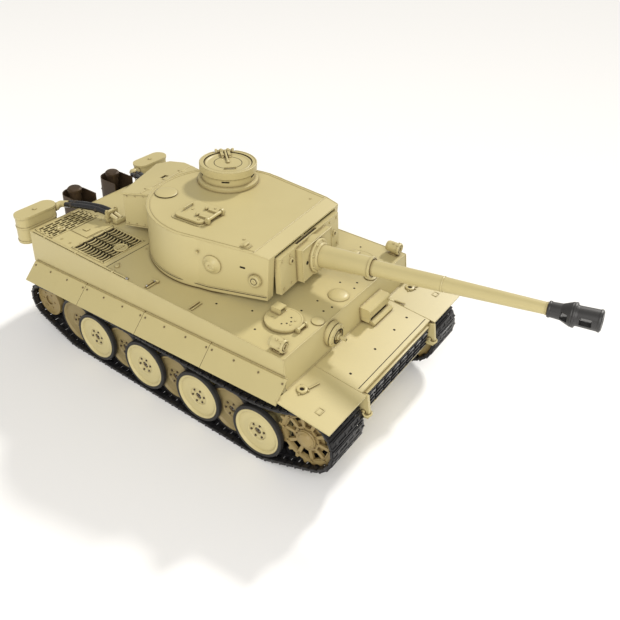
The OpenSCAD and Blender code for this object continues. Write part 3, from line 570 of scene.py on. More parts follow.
for x0, x1, y0, y1 in frames:
    for side in (-1, 1):
        around = [(x0 + share * (x1 - x0), y) for share in (0.1, 0.5, 0.9) for y in (y0 + 1, y1 - 1)]
        around += [(x, y0 + share * (y1 - y0)) for share in (0.2, 0.5, 0.8) for x in (x0 + 1, x1 - 1)]
        for x, y in around:
            drum(grilles, (x, side * y, grille_top), (x, side * y, grille_top + 0.85), 0.85, 0.65, 8)
for side in (-1, 1):
    for x, y in ((-190, 40), (-190, 66), (-178, 40), (-178, 88), (-190, 88), (-115, 50), (-115, 84)):
        drum(grilles, (x, side * y, grille_top - 0.2), (x, side * y, grille_top + 0.9), 1.0, 0.8, 10)
    block(grilles, (-195.5, side * 62 - 10, grille_top - 0.3),
          (-173.5, side * 62 + 10, grille_top + 0.7), 0.3)
    block(grilles, (-188, side * 62 - 2.5, grille_top + 0.5), (-182, side * 62 + 2.5, grille_top + 1.6), 0.4)
piece(grilles, "engine_deck_grilles", sand, "hull", stands_for=("engine_grilles",))
piece(grille_shade_sheets, "grille_shade_sheet", recess_shade, "hull")


# ---- Exhausts ------------------------------------------------------------------
# Two iron stacks behind curved heat shields, sprayed a dark burnt bronze, with
# a flat cap on each stack.

bronze, drive, place = finish_of("burnt_bronze", Metallic=0.35, Specular_IOR_Level=0.4)
soot = place.noise(60.0, 4.0)
flake = place.noise(600.0, 2.0)
drive("Base Color", soot.mix((0.022, 0.014, 0.009, 1), (0.10, 0.062, 0.030, 1)))
drive("Roughness", soot * 0.3 + 0.35)
drive("Normal", place.node("ShaderNodeBump", Strength=0.25, Distance=0.0004, Height=flake))
repaint(bronze, "exhausts")

shield_r = 12.9
stack_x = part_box("exhausts")[0].x / mm + 13
stack_y = 26
caps = bmesh.new()
for side in (-1, 1):
    stack = (stack_x, side * stack_y)
    lathe(caps, [(0.01, 0), (7.6, 0), (7.6, 1.2), (6.2, 2.6), (0.01, 3.0)], (*stack, 120.4), (0, 0, 1), 32)
    for dx, dy in circle(4, 6.4, 45):
        x, y = stack[0] + dx, stack[1] + dy
        drum(caps, (x, y, 116), (x, y, 120.8), 0.7, steps=8)
    for z in (76, 90, 104):
        for angle in (120, 180, 240):
            direction = Vector((math.cos(math.radians(angle)), math.sin(math.radians(angle)), 0))
            foot = Vector((*stack, z)) + direction * shield_r
            drum(caps, foot, foot + direction * 0.9, 0.9, 0.7, 10)
piece(caps, "exhaust_caps", bronze, "hull")


# ---- Air cleaners and hoses ----------------------------------------------------
# Pressed drums at the rear corners, with a lipped lid and straps. A pair of
# glossy black hoses joins each to the clamp on the deck.

cleaner_r, cleaner_y, cleaner_reach = 9, 79.5, 13
cleaner_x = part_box("air_cleaners")[0].x / mm + cleaner_r
clamp_x, clamp_y = -181.5, 32
lids = bmesh.new()
for side in (-1, 1):
    y = side * cleaner_y
    for z0, z1, grow in ((118.2, 120.4, 0.7), (92.5, 94.0, 0.45), (107.0, 109.0, 0.5)):
        made = bmesh.new()
        outline = []
        for step in range(40):
            angle = math.radians(9 * step)
            reach = cleaner_reach if step < 20 else -cleaner_reach
            outline.append((cleaner_x + (cleaner_r + grow) * math.cos(angle),
                            y + reach + (cleaner_r + grow) * math.sin(angle)))
        prism(made, outline, z0, z1, "z")
        join(lids, made)
    drum(lids, (cleaner_x, y, 120.2), (cleaner_x, y, 121.6), 2.2, 1.8, 16, 0.3)
    drum(lids, (cleaner_x + 2, side * 58.5, 114), (cleaner_x + 2, side * 54.5, 114.5), 4.2,
         steps=20, edge=0.4)
    block(lids, (-184.2, side * clamp_y - 7.6, 112), (-179.6, side * clamp_y + 7.6, 114.2), 0.4)
    for offset in (-5.8, 5.8):
        y = side * clamp_y + offset
        drum(lids, (clamp_x, y, 118), (clamp_x, y, 121.5), 1.2, steps=10)
piece(lids, "air_cleaner_trim", sand, "hull")

hose_black, drive, place = finish_of("glossy_hose", Base_Color=(0.012, 0.012, 0.014, 1),
                                     Coat_Weight=0.6, Coat_Roughness=0.08)
ripple = place.noise(300.0, 1.0)
drive("Roughness", ripple * 0.08 + 0.10)
hose_route = [(-231, 46, 116), (-226, 45.4, 116.9), (-221, 44.4, 117.9), (-215, 42.4, 118.5),
              (-208, 39.8, 118.7), (-201, 36.8, 118.5), (-195, 34.4, 117.9), (-189, 32.8, 116.9),
              (-183, 32, 116)]
twins = (-2.8, 2.8)
hose_r = 2.75
hoses = bmesh.new()
for side in (-1, 1):
    for twin in twins:
        bead(hoses, [(x, side * y + twin, z) for x, y, z in hose_route], hose_r, 20)
piece(hoses, "intake_hoses", hose_black, "hull", stands_for=("air_hoses",), crease=60)
ties = bmesh.new()
for side in (-1, 1):
    for x, y in ((-224, 45), (-198, 35.6)):
        for twin in twins:
            drum(ties, (x, side * y + twin, 117.3), (x + 2.2, side * (y - 0.8) + twin, 117.9), 3.1, steps=20)
piece(ties, "hose_bands", dark_iron, "hull")


# ---- Headlights ----------------------------------------------------------------
# Drum lamps on short brackets at the front corners, with a glass behind a hood.

glass, drive, place = finish_of("lamp_glass", Roughness=0.15, Specular_IOR_Level=0.6)
ribs_and_groove_shade = place.node("ShaderNodeTexWave", Vector=place, Scale=300.0)
# The ribs are real; their dark bands in the colour are painted shade in the grooves between them.
drive("Base Color", ribs_and_groove_shade.mix((0.20, 0.17, 0.10, 1), (0.42, 0.37, 0.22, 1)))
drive("Normal", place.node("ShaderNodeBump", Strength=0.3, Distance=0.0003, Height=ribs_and_groove_shade))
lamps = bmesh.new()
lenses = bmesh.new()
lamp_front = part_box("headlights")[1].x / mm
lamp_y, lamp_lift = 91.5, 6.8
bracket_x = 69.8
for side in (-1, 1):
    centre = (lamp_front, side * lamp_y, deck_z + lamp_lift)
    lathe(lamps, [(4.3, -1.4), (5.5, -1.4), (5.5, -0.2), (5.1, 0.5), (4.6, 0.5), (4.3, 0.1)],
          centre, (1, 0, 0), 36)
    lathe(lamps, [(2.2, -1.6), (3.2, -1.6), (3.2, 0.2), (2.9, 0.5), (2.4, 0.5), (2.2, 0.2)],
          centre, (1, 0, 0), 36)
    drum(lamps, (centre[0] - 6.5, centre[1] - 2, centre[2] + 4.6),
         (centre[0] - 6.5, centre[1] - 2, centre[2] + 5.8), 1.0, 0.8, 10)
    lathe(lamps, [(0.01, 0), (4.8, 0), (4.9, 0.6), (4.2, 2.2), (0.01, 3.0)],
          (centre[0] - 11, centre[1], centre[2]), (-1, 0, 0), 36)
    for dy, dz in circle(6, 5.2):
        y, z = centre[1] + dy, centre[2] + dz
        drum(lamps, (centre[0] - 3.2, y, z), (centre[0] - 0.2, y, z), 0.6, steps=8)
    block(lamps, (66.4, centre[1] - 3.0, deck_z - 0.1), (73.2, centre[1] + 3.0, deck_z + 1.0), 0.3)
    for dx in (-2.6, 2.6):
        drum(lamps, (bracket_x + dx, centre[1] + side * 2.2, deck_z + 0.9),
             (bracket_x + dx, centre[1] + side * 2.2, deck_z + 1.7), 0.7, steps=8)
    lathe(lenses, [(0.01, 0), (4.3, 0), (4.0, 0.2), (2.4, 0.35), (0.01, 0.5)],
          (centre[0] - 1.2, centre[1], centre[2]), (1, 0, 0), 32)
piece(lamps, "headlight_rims", sand, "hull")
piece(lenses, "headlight_glasses", glass, "hull")


# ---- Driver's visor and bow gun --------------------------------------------------
# The driver looks out through a slit between two thick blocks. The machine gun
# swivels in an armoured ball on the other side.

# Painted shade: a dark block fills the visor slit.
visor_shade = bmesh.new()
block(visor_shade, (82, 16.4, 83.4), (90.8, 44.6, 87.1), 0.0)
piece(visor_shade, "visor_slit_shade", recess_shade, "hull")
visor_frame = bmesh.new()
block(visor_frame, (82, 12.6, 83.3), (91.4, 16.2, 87.3), 0.4)
block(visor_frame, (82, 44.5, 83.3), (91.4, 47.9, 87.3), 0.4)
for y in (15, 45):
    drum(visor_frame, (91.3, y, 92), (92.2, y, 92), 1.1, 0.8, 10)
piece(visor_frame, "visor_cheeks", sand, "hull")
bow_joint = [c / mm for c in joints["bow_gun_swivel"]["pos_m"]]
ball = bmesh.new()
lathe(ball, [(6.1, 1.8), (7.9, 1.8), (9.8, 1.2), (10.6, 0.2), (10.6, -0.6), (6.1, -0.6)],
      (bow_joint[0] + 3.4, bow_joint[1], bow_joint[2]), (1, 0, 0), 44)
for dy, dz in circle(8, 9.0, 22.5):
    y, z = bow_joint[1] + dy, bow_joint[2] + dz
    drum(ball, (bow_joint[0] + 4.2, y, z), (bow_joint[0] + 5.4, y, z), 0.7, 0.55, 8)
piece(ball, "bow_gun_ring", sand, "hull")
muzzle = bmesh.new()
x, y, z = bow_joint
lathe(muzzle, [(1.0, 12.6), (1.5, 12.6), (1.7, 13.0), (1.4, 13.3), (1.0, 13.2)], (x, y, z), (1, 0, 0), 20)
lathe(muzzle, [(1.6, 4.8), (2.6, 4.8), (3.0, 6.2), (2.6, 7.0), (1.6, 7.0)], (x, y, z), (1, 0, 0), 24)
piece(muzzle, "bow_gun_barrel_rings", sand, "bow_gun")
# Painted shade: a dark disc in the muzzle's bore and a dark ring in the gap round the ball.
bore_shade = bmesh.new()
drum(bore_shade, (x + 12.8, y, z), (x + 13.06, y, z), 1.0, steps=16)
piece(bore_shade, "bow_gun_bore_shade", recess_shade, "bow_gun")
collar_gap_shade = bmesh.new()
lathe(collar_gap_shade, [(6.0, 5.2), (7.0, 5.2), (7.0, 5.65), (6.0, 5.65)], (x, y, z), (1, 0, 0), 36)
piece(collar_gap_shade, "bow_gun_gap_shade", recess_shade, "hull")


# ---- Crew hatches on the front deck ---------------------------------------------
# Round lids with a bevelled rim, a hinge at the front and rivets. The radio
# operator's lid carries a periscope hood.

hatch_x, hatch_y, hatch_lift = 51.0, 59.0, 2.5
for name, side in (("radio", -1), ("driver", 1)):
    centre = (hatch_x, side * hatch_y, deck_z + hatch_lift)
    lid = bmesh.new()
    lathe(lid, [(14.4, -0.4), (15.8, -0.4), (15.6, 0.1), (15.0, 0.2), (14.4, 0.1)], centre, (0, 0, 1), 56)
    for angle in (20, 160, 200, 340):
        x = centre[0] + 9.5 * math.cos(math.radians(angle))
        y = centre[1] + 9.5 * math.sin(math.radians(angle))
        drum(lid, (x, y, centre[2] - 0.3), (x, y, centre[2] + 0.55), 0.9, 0.7, 12)
    grip = ((41.5, 8, -0.2), (41.0, 8, 1.6), (41.0, 3, 1.6), (41.5, 3, -0.2))
    bead(lid, [(x, centre[1] - side * y, centre[2] + z) for x, y, z in grip], 0.45, 8)
    if name == "driver":
        block(lid, (38.5, centre[1] + 1.5, centre[2] - 0.4), (46.5, centre[1] + 10.5, centre[2] + 1.2), 0.5)
    piece(lid, name + "_hatch_trim", sand, name + "_hatch")
    if name == "radio":
        # Painted shade: a dark panel in the periscope hood's opening and dark dots in the lid's holes.
        window_shade = bmesh.new()
        hood_y = centre[1] + 6
        block(window_shade, (41.2, hood_y - 3, deck_z + 3.4), (42.0, hood_y + 3, deck_z + 6.8))
        for dx, dy in ((2.5, -6.5), (5.5, -3.5), (7.0, 0.5), (4.0, 5.0)):
            drum(window_shade, (centre[0] + dx, centre[1] + dy, centre[2] - 0.3),
                 (centre[0] + dx, centre[1] + dy, centre[2] + 0.14), 0.75, steps=12)
        piece(window_shade, "periscope_window_shade", recess_shade, "radio_hatch")


# ---- Nose: spare links and shackles ----------------------------------------------
# A rack of spare track links lies across the nose plate between the tongues,
# and a bow shackle hangs from each tongue.

track_black, drive, place = finish_of("track_black", Specular_IOR_Level=0.4)
scuff = place.noise(220.0, 4.0)
drive("Base Color", scuff.mix((0.004, 0.004, 0.005, 1), (0.020, 0.019, 0.020, 1)))
drive("Roughness", scuff * 0.34 + 0.24)
drive("Normal", place.node("ShaderNodeBump", Strength=0.35, Distance=0.0005, Height=scuff))

spares = bmesh.new()
for row in range(2):
    for column in range(8):
        y = (column - 3.5) * 13.4
        z = 66.5 - row * 8.4
        block(spares, (127.6, y - 6.3, z - 3.4), (130.0, y + 6.3, z + 3.4), 0.4)
        block(spares, (129.6, y - 5.6, z + 1.2), (131.4, y + 5.6, z + 2.6), 0.3)
        block(spares, (129.6, y - 5.6, z - 2.6), (131.4, y + 5.6, z - 1.2), 0.3)
        drum(spares, (129.8, y - 6.6, z + 3.9), (129.8, y + 6.6, z + 3.9), 0.8, steps=8)
piece(spares, "spare_track_links", track_black, "hull")

nose = bmesh.new()
for z in (72.8, 52.8):
    block(nose, (127.2, -54.5, z - 0.8), (130.2, 54.5, z + 0.6), 0.3)
for side in (-1, 1):
    for end, direction in ((131.8, 1), (-225.4, -1)):
        height = 59.0 if direction > 0 else 57.5
        y = side * 58.5
        drum(nose, (end, y - 3.4, height), (end, y + 3.4, height), 1.7, steps=14, edge=0.2)
        loop = []
        for step in range(13):
            angle = math.radians(-105 + 210 * step / 12)
            loop.append((end + direction * (2.4 + 3.6 * math.cos(angle)),
                         y + 3.9 * math.sin(angle), height - 1.5))
        loop[0] = (end, y - 3.6, height)
        loop[-1] = (end, y + 3.6, height)
        bead(nose, loop, 0.95, 8)
piece(nose, "shackles_and_rack", sand, "hull")


# ---- Turret ----------------------------------------------------------------------
# A curved side plate welded to a flat roof. Weld seams run round the roof and
# above the lower edge, with a lifting lug, a vision slit and a pistol port.

ring = Vector(joints["turret_yaw"]["pos_m"])
gun_axis = Vector(joints["gun_elevation"]["axis"])
yaw = math.atan2(gun_axis.x, -gun_axis.y)
on_turret = Matrix.Translation((ring.x, ring.y, 0)) @ Matrix.Rotation(yaw, 4, "Z")
roof_z = 158.0
base_z = 109.7
rear_r = 72.0
front_x = 84.0
cheek_z = 116.0
cheek_start_x = 30.0
fold_x = 70.0
fall_angle = 8.0
vent_x, vent_y = -54.0, -20.0
trunnion_x, trunnion_z = 73.0, 133.3
cap_faces = ((-1, -64.0), (1, 62.0))


def side_line(inset):
    """The turret's plan from its right front corner round the back to its left front corner."""
    points = [(front_x - 1, -60 + inset), (0, -rear_r + inset)]
    for step in range(1, 60):
        angle = math.radians(270 - 3 * step)
        points.append(((rear_r - inset) * math.cos(angle), (rear_r - inset) * math.sin(angle)))
    points += [(0, rear_r - inset), (front_x - 1, 57 - inset)]
    return points


seam = bmesh.new()
roof_line = []
for x, y in side_line(0.1):
    fall = max(0, x - fold_x) * math.tan(math.radians(fall_angle))
    roof_line.append((x, y, roof_z - fall - 0.1))
roof_line.insert(1, (fold_x, -61.9, roof_z - 0.1))
roof_line.insert(-1, (fold_x, 59.6, roof_z - 0.1))
bead(seam, roof_line, 0.5, 8)
skirt_z = base_z + 4.2
lower_line = [(83, -60.3, cheek_z + 3.8), (cheek_start_x, -67.9, skirt_z)]
lower_line += [(x, y, skirt_z) for x, y in side_line(-0.2) if x < 1]
lower_line += [(cheek_start_x, 66.9, skirt_z), (83, 57.4, cheek_z + 3.8)]
bead(seam, lower_line, 0.4, 8)
bead(seam, [(fold_x, -60.5, roof_z - 0.05), (fold_x, 58.5, roof_z - 0.05)], 0.4, 8)
inner_line = [(x, y, roof_z + 0.02) for x, y in side_line(3.0) if x < fold_x]
bead(seam, [(69, -58.9, roof_z + 0.02)] + inner_line + [(69, 56.5, roof_z + 0.02)], 0.4, 8)
piece(seam, "turret_weld_seams", sand, "turret", place=on_turret.copy())
# Painted shadow: a dark bead just under the lower weld seam.
seam_shadow = bmesh.new()
bead(seam_shadow, [(x, y, z - 0.75) for x, y, z in lower_line], 0.34, 8)
piece(seam_shadow, "turret_seam_shadow", recess_shade, "turret", place=on_turret.copy())

fixtures = bmesh.new()
port = Vector((33, -66, 137))
outward = Vector((0.105, -0.994, 0))
port_profile = [(0.01, 3.5), (2.0, 5.6), (4.4, 5.2), (5.6, 3.6), (8.4, 2.2), (8.7, 1.0), (8.7, 0), (0.01, 0)]
lathe(fixtures, port_profile, port, outward, 40)
block(fixtures, (55.5, -59.5, roof_z - 0.4), (63.5, -52.5, roof_z + 0.8), 0.3)
block(fixtures, (58, -58.8, roof_z + 0.6), (61, -53.2, roof_z + 3.2), 0.5)
for x, y in ((52, -48), (60, 48)):
    drum(fixtures, (x, y, roof_z - 0.2), (x, y, roof_z + 0.8), 1.2, 0.9, 12)
for end, face_y in cap_faces:
    lathe(fixtures, [(0.01, 0.8), (1.6, 1.4), (3.2, 0.6), (4.6, 0.9), (5.2, 0.2), (5.2, -1), (0.01, -1)],
          (trunnion_x, face_y, trunnion_z), (0, end, 0), 32)
lathe(fixtures, [(0.01, 0.9), (0.01, 1.9), (7.4, 1.8), (9.4, 1.5), (10.4, 1.0), (10.4, 0.8)],
      (vent_x, vent_y, roof_z), (0, 0, 1), 44)
for x, y, z in ((-20, 70.5, 140), (20, -69.9, 146)):
    direction = Vector((x, y, 0)).normalized()
    drum(fixtures, Vector((x, y, z)) - direction, Vector((x, y, z)) + direction * 2.2, 1.0, steps=10)
piece(fixtures, "turret_fixtures", sand, "turret", place=on_turret.copy())

# Painted shade: a dark block in the vision slit, a dark ring in the gap under the ventilator's cap, and dark
# rings round the trunnion caps.
slit_shades = bmesh.new()
slit_turn = Matrix.Rotation(math.radians(7.4), 4, "Z")
vision_slit_shade = bmesh.new()
block(vision_slit_shade, (-2.4, -0.6, -0.8), (2.4, 1.2, 0.8))
vision_slit_shade.transform(Matrix.Translation(Vector((61, -62.8, 142)) * mm) @ slit_turn)
join(slit_shades, vision_slit_shade)
lathe(slit_shades, [(9.0, 0.05), (10.1, 0.05), (10.1, 0.8), (9.0, 0.8)], (vent_x, vent_y, roof_z), (0, 0, 1), 44)
for end, face_y in cap_faces:
    lathe(slit_shades, [(2.1, 0.6), (3.0, 0.6), (3.0, 0.95), (2.1, 0.95)],
          (trunnion_x, face_y, trunnion_z), (0, end, 0), 28)
piece(slit_shades, "turret_slit_shade", recess_shade, "turret", place=on_turret.copy())


# ---- Cupola and its hatch --------------------------------------------------------
# A drum with five vision slits under an overhanging ring. The lid turns on two
# bolted lugs and is balanced by a spring rod.

cupola_x, cupola_y = -24.4, 36.5
hinge_angle = math.radians(134)
cupola_place = on_turret @ Matrix.Translation(Vector((cupola_x, cupola_y, 0)) * mm)
crown = bmesh.new()
lathe(crown, [(25.2, 3.0), (29.1, 3.0), (28.7, 3.7), (26.4, 4.2), (25.2, 4.2)],
      (0, 0, roof_z), (0, 0, 1), 72)
for x, y in circle(12, 27.2, 15):
    drum(crown, (x, y, roof_z + 3.2), (x, y, roof_z + 4.1), 0.8, 0.6, 8)
rim_r, rim_gap, rim_steps = 26.6, 0.44, 60
rim = []
for step in range(rim_steps + 1):
    angle = hinge_angle + rim_gap + (2 * math.pi - 2 * rim_gap) * step / rim_steps
    rim.append((rim_r * math.cos(angle), rim_r * math.sin(angle), roof_z + 18.8))
bead(crown, rim, 0.75, 8)
piece(crown, "cupola_trim", sand, "turret", place=cupola_place.copy())
# Painted shade: a dark ring in the gap under the overhanging ring and dark blocks in the five vision slits.
cupola_gap_shades = bmesh.new()
lathe(cupola_gap_shades, [(22.62, 17.2), (23.18, 17.2), (23.18, 18.6), (22.62, 18.6)],
      (0, 0, roof_z), (0, 0, 1), 72)
for turn in range(5):
    angle = math.radians(72 * turn - 60)
    slit_shade_piece = bmesh.new()
    block(slit_shade_piece, (23.6, -3.4, roof_z + 8.5), (25.45, 3.4, roof_z + 9.7))
    slit_shade_piece.transform(Matrix.Rotation(angle, 4, "Z"))
    join(cupola_gap_shades, slit_shade_piece)
piece(cupola_gap_shades, "cupola_slit_shade", recess_shade, "turret", place=cupola_place.copy())

lid_z = joints["cupola_hatch_hinge"]["pos_m"][2] / mm - 3
ridge = bmesh.new()
lathe(ridge, [(19.0, 1.6), (22.3, 1.6), (22.1, 2.3), (21.3, 2.6), (19.6, 2.2)],
      (0, 0, lid_z), (0, 0, 1), 64)
piece(ridge, "cupola_lid_rings", sand, "cupola_hatch", place=cupola_place.copy())
# Painted shade: a dark ring in the lid's groove.
lid_groove_shade = bmesh.new()
lathe(lid_groove_shade, [(12.9, 1.8), (13.5, 1.8), (13.5, 2.06), (12.9, 2.06)], (0, 0, lid_z), (0, 0, 1), 56)
piece(lid_groove_shade, "cupola_lid_groove_shade", recess_shade, "cupola_hatch", place=cupola_place.copy())
arms = bmesh.new()
hinge_turn = cupola_place @ Matrix.Rotation(hinge_angle, 4, "Z")
for y in (-3.4, 3.4):
    drum(arms, (23.0, y, lid_z + 3.4), (25.0, y, lid_z + 5.4), 1.9, 1.6, 14, 0.3)
    drum(arms, (12.0, y, lid_z + 2.0), (12.0, y, lid_z + 3.2), 1.5, 1.2, 12, 0.2)
bead(arms, [(2, 0, lid_z + 2.4), (9, 0, lid_z + 3.4), (20, 0, lid_z + 5.0)], 1.0, 10)
drum(arms, (-1, 0, lid_z + 1.8), (3, 0, lid_z + 2.8), 1.8, 1.5, 14, 0.3)
grip = ((-5, 1.8), (-5, 3.6), (5, 3.6), (5, 1.8))
bead(arms, [(-14, y, lid_z + z) for y, z in grip], 0.6, 8)
piece(arms, "cupola_hatch_hinge_arms", sand, "cupola_hatch", place=hinge_turn.copy())


# ---- Loader's hatch ---------------------------------------------------------------
# A flat lid with rounded corners, a grab handle at the back, locking bolts and
# two hinge arms at the front.

loader = bmesh.new()
loader_z = roof_z + 2.8
loader_x, loader_y = -5.5, -34.5
handle = ((-6, -0.2), (-6, 2.4), (6, 2.4), (6, -0.2))
bead(loader, [(loader_x - 11, loader_y + y, loader_z + z) for y, z in handle], 0.7, 10)
for y in (-6.5, 6.5):
    drum(loader, (loader_x + 4, loader_y + y, loader_z + 0.6),
         (loader_x + 4, loader_y + y, loader_z + 2.6), 1.7, 1.4, 14, 0.3)
for x, y in ((-6, 0), (9.5, -12), (9.5, 12)):
    drum(loader, (loader_x + x, loader_y + y, loader_z - 0.2),
         (loader_x + x, loader_y + y, loader_z + 0.7), 1.2, 0.9, 12)
piece(loader, "loader_hatch_trim", sand, "loader_hatch", place=on_turret.copy())
# Painted shade: a dark sheet under the lid shows as a dark gap round its edge.
hatch_gap_shade = bmesh.new()
block(hatch_gap_shade, (loader_x - 13, loader_y - 14, roof_z + 0.45), (loader_x + 13, loader_y + 14, roof_z + 0.75))
piece(hatch_gap_shade, "loader_hatch_gasket", recess_shade, "turret", place=on_turret.copy())


# ---- Stowage bin -------------------------------------------------------------------
# A sheet bin hung askew on the back of the turret. Its sloping lid has a rolled
# lip and a strap hinge, and rivets run along the bin's top and bottom edges.

lid_front_x, lid_front_z, lid_sheet, lid_slope = -60, 153, 1.8, 5
rivet_pitch = 7
strap_x = -80
bin_plan = [(-66, -22.6), (-97.6, -33.4), (-115.9, 38.4), (-107.8, 50.2), (-92, 53.4), (-75, 48.4)]


def lid_height(x):
    """Top of the bin's sloping lid at a distance along the turret's axis."""
    return lid_front_z + lid_sheet + (x - lid_front_x) * math.tan(math.radians(lid_slope)) + 0.1


stowage = bmesh.new()
bead(stowage, [(x, y, lid_height(x) - 1.0) for x, y in bin_plan], 0.9, 10)
bead(stowage, [(x * 0.993, y * 0.97, 117.0) for x, y in bin_plan], 0.6, 8)
for start, stop in zip(bin_plan[:3], bin_plan[1:4]):
    reach = math.hypot(stop[0] - start[0], stop[1] - start[1])
    count = int(reach // rivet_pitch)
    for index in range(count):
        share = (index + 0.5) / count
        x = start[0] + (stop[0] - start[0]) * share
        y = start[1] + (stop[1] - start[1]) * share
        outward = Vector((stop[1] - start[1], start[0] - stop[0], 0)).normalized()
        if outward.dot(Vector((x + 88, y - 12, 0))) < 0:
            outward = -outward
        for z in (119.5, lid_height(x) - 4.2):
            foot = Vector((x, y, z)) - outward * 2.2
            drum(stowage, foot, foot + outward * 1.9, 0.75, 0.6, 8)
bead(stowage, [(strap_x, y, lid_height(strap_x) - 0.2) for y in (-26.6, 49.2)], 0.7, 8)
for y in (-14, 12, 36):
    block(stowage, (strap_x - 4, y - 3, lid_height(strap_x - 4) - 0.6),
          (strap_x + 4, y + 3, lid_height(strap_x + 4)), 0.3)
piece(stowage, "stowage_bin_trim", sand, "turret", place=on_turret.copy())
# Painted shade: a dark block in the bin's opening.
opening_shade = bmesh.new()
block(opening_shade, (-88.3, 11.2, 147), (-83.7, 18.8, lid_height(-86) - 1.6))
piece(opening_shade, "stowage_bin_opening_shade", recess_shade, "turret", place=on_turret.copy())


# ---- Gun ---------------------------------------------------------------------------
# A heavy mantlet with a bolted collar carries the barrel's sleeve. The barrel
# slides back in it, and its brake is sprayed satin black.

trunnion = Vector(joints["gun_elevation"]["pos_m"])
recoil = Vector(joints["barrel_recoil"]["axis"])
gun_tilt = math.asin(-recoil.z)
on_gun = (Matrix.Translation(trunnion) @ Matrix.Rotation(yaw, 4, "Z")
          @ Matrix.Rotation(-gun_tilt, 4, "Y"))
sleeve_end = 73.6
sights = ((-33, 9, 1.6), (26, 1, 1.5), (41, 1, 1.5))
collar = bmesh.new()
lathe(collar, [(9.9, -0.5), (15.2, -0.5), (15.2, 1.6), (14.4, 2.6), (12.4, 3.0), (10.8, 5.2), (9.9, 5.4)],
      (22.4, 0, 0), (1, 0, 0), 56)
for y, z in circle(8, 13.4, 22.5):
    drum(collar, (23.6, y, z), (26.2, y, z), 1.25, 1.0, 12, 0.2)
lathe(collar, [(8.2, -1.2), (9.35, -1.2), (9.5, -0.2), (9.3, 0.9), (8.2, 0.9)],
      (sleeve_end, 0, 0), (1, 0, 0), 44)
outline = ((-25, -14.5), (-25, 15.5), (25, 15.5), (25, -14.5))
bead(collar, [(22.6, y, z) for y, z in outline], 0.5, 8)
for y in (-46, -34, 34, 46):
    for z in (-11, 14.5):
        drum(collar, (15.6, y, z), (16.9, y, z), 1.1, 0.85, 10)
for y, z, _ in sights:
    lathe(collar, [(1.5, 0), (3.0, 0), (2.7, 1.3), (1.5, 1.5)], (16, y, z), (1, 0, 0), 20)
piece(collar, "mantlet_collar", sand, "gun", place=on_gun.copy())
# Painted shade: dark discs in the sight and machine-gun holes and a dark slot along the mantlet's top edge.
sight_hole_shades = bmesh.new()
for y, z, radius in sights:
    drum(sight_hole_shades, (15.0, y, z), (16.35, y, z), radius, steps=16)
drum(sight_hole_shades, (21.8, -18, 1), (22.75, -18, 1), 1.6, steps=16)
block(sight_hole_shades, (12.2, -19.4, 15.0), (14.3, 13.4, 17.0))
piece(sight_hole_shades, "mantlet_sight_hole_shade", recess_shade, "gun", place=on_gun.copy())

barrel_rings = bmesh.new()
for start, radius in ((134, 6.55), (211.2, 5.0)):
    profile = [(radius - 1.5, -0.8), (radius - 0.15, -0.8), (radius + 0.15, 0), (radius - 0.15, 0.8),
               (radius - 1.5, 0.8)]
    lathe(barrel_rings, profile, (start, 0, 0), (1, 0, 0), 44)
piece(barrel_rings, "barrel_step_rings", sand, "barrel", place=on_gun.copy())

brake_black, drive, place = finish_of("brake_black", Base_Color=(0.028, 0.027, 0.027, 1), Metallic=0.0,
                                      Specular_IOR_Level=0.5)
drive("Roughness", place.noise(150.0, 3.0) * 0.2 + 0.32)
drive("Normal", place.node("ShaderNodeBevel", {"samples": 4}, Radius=0.5 * mm))
repaint(brake_black, "muzzle_brake")
brake_rings = bmesh.new()
for start, radius in ((213.0, 5.9), (229.8, 9.0), (246.5, 7.9)):
    profile = [(radius - 0.8, -0.9), (radius + 0.2, -0.9), (radius + 0.45, 0), (radius + 0.2, 0.9),
               (radius - 0.8, 0.9)]
    lathe(brake_rings, profile, (start, 0, 0), (1, 0, 0), 44)
piece(brake_rings, "brake_rings", brake_black, "barrel", place=on_gun.copy())


# ---- Road wheels ---------------------------------------------------------------------
# Dished steel-look discs with rubber tyres, three on each axle, interleaved with
# the next axle's. The outer discs show a bolted hub.

disc_faces = [107.5, 101.5, 93.1, 87.1, 78.7, 72.7]
disc_width = 5.0
wheel_r = 25.0
rubber, drive, place = finish_of("tyre_rubber", Specular_IOR_Level=0.35)
dust = place.noise(160.0, 3.0)
drive("Base Color", dust.mix((0.010, 0.010, 0.010, 1), (0.030, 0.028, 0.026, 1)))
drive("Roughness", dust * 0.2 + 0.42)
disc_paint = painted("wheel_paint", (0.60, 0.52, 0.27), (0.50, 0.43, 0.21), 0.45)
# Painted shade: the discs on the even axles sit back under the fenders and get a darker copy of the wheel
# paint.
shade_paint = painted("inner_wheel_painted_shade", (0.33, 0.26, 0.12), (0.24, 0.185, 0.08), 0.5)
hub_dark_and_shade = painted("hub_bolts_and_recess_shade", (0.10, 0.07, 0.04), (0.05, 0.035, 0.02), 0.45)


def wheel_disc(bm, face, outer, rim=21.9):
    """One dished disc whose outer face stands at a distance from the middle of the tank."""
    depth = 1.7 if outer else 1.0
    profile = [(0.01, -4.4), (6.5, -4.4), (8.5, -disc_width + 0.4), (rim - 2, -disc_width + 0.6),
               (rim, -disc_width + 0.9), (rim, -0.4), (rim - 0.6, 0), (rim - 1.6, -0.1), (rim - 2.4, -0.9),
               (rim - 3.0, -depth), (13.2, -depth - 0.5), (12.4, -depth - 0.2), (9.4, -depth + 0.3),
               (8.7, -depth + 0.1), (8.2, -depth - 0.6), (5.0, -depth - 0.8), (4.4, -depth - 0.3),
               (3.5, -depth - 0.2), (3.1, -depth - 0.8), (3.0, -4.0), (0.01, -4.1)]
    lathe(bm, profile, (0, face, 0), (0, 1, 0), 56)


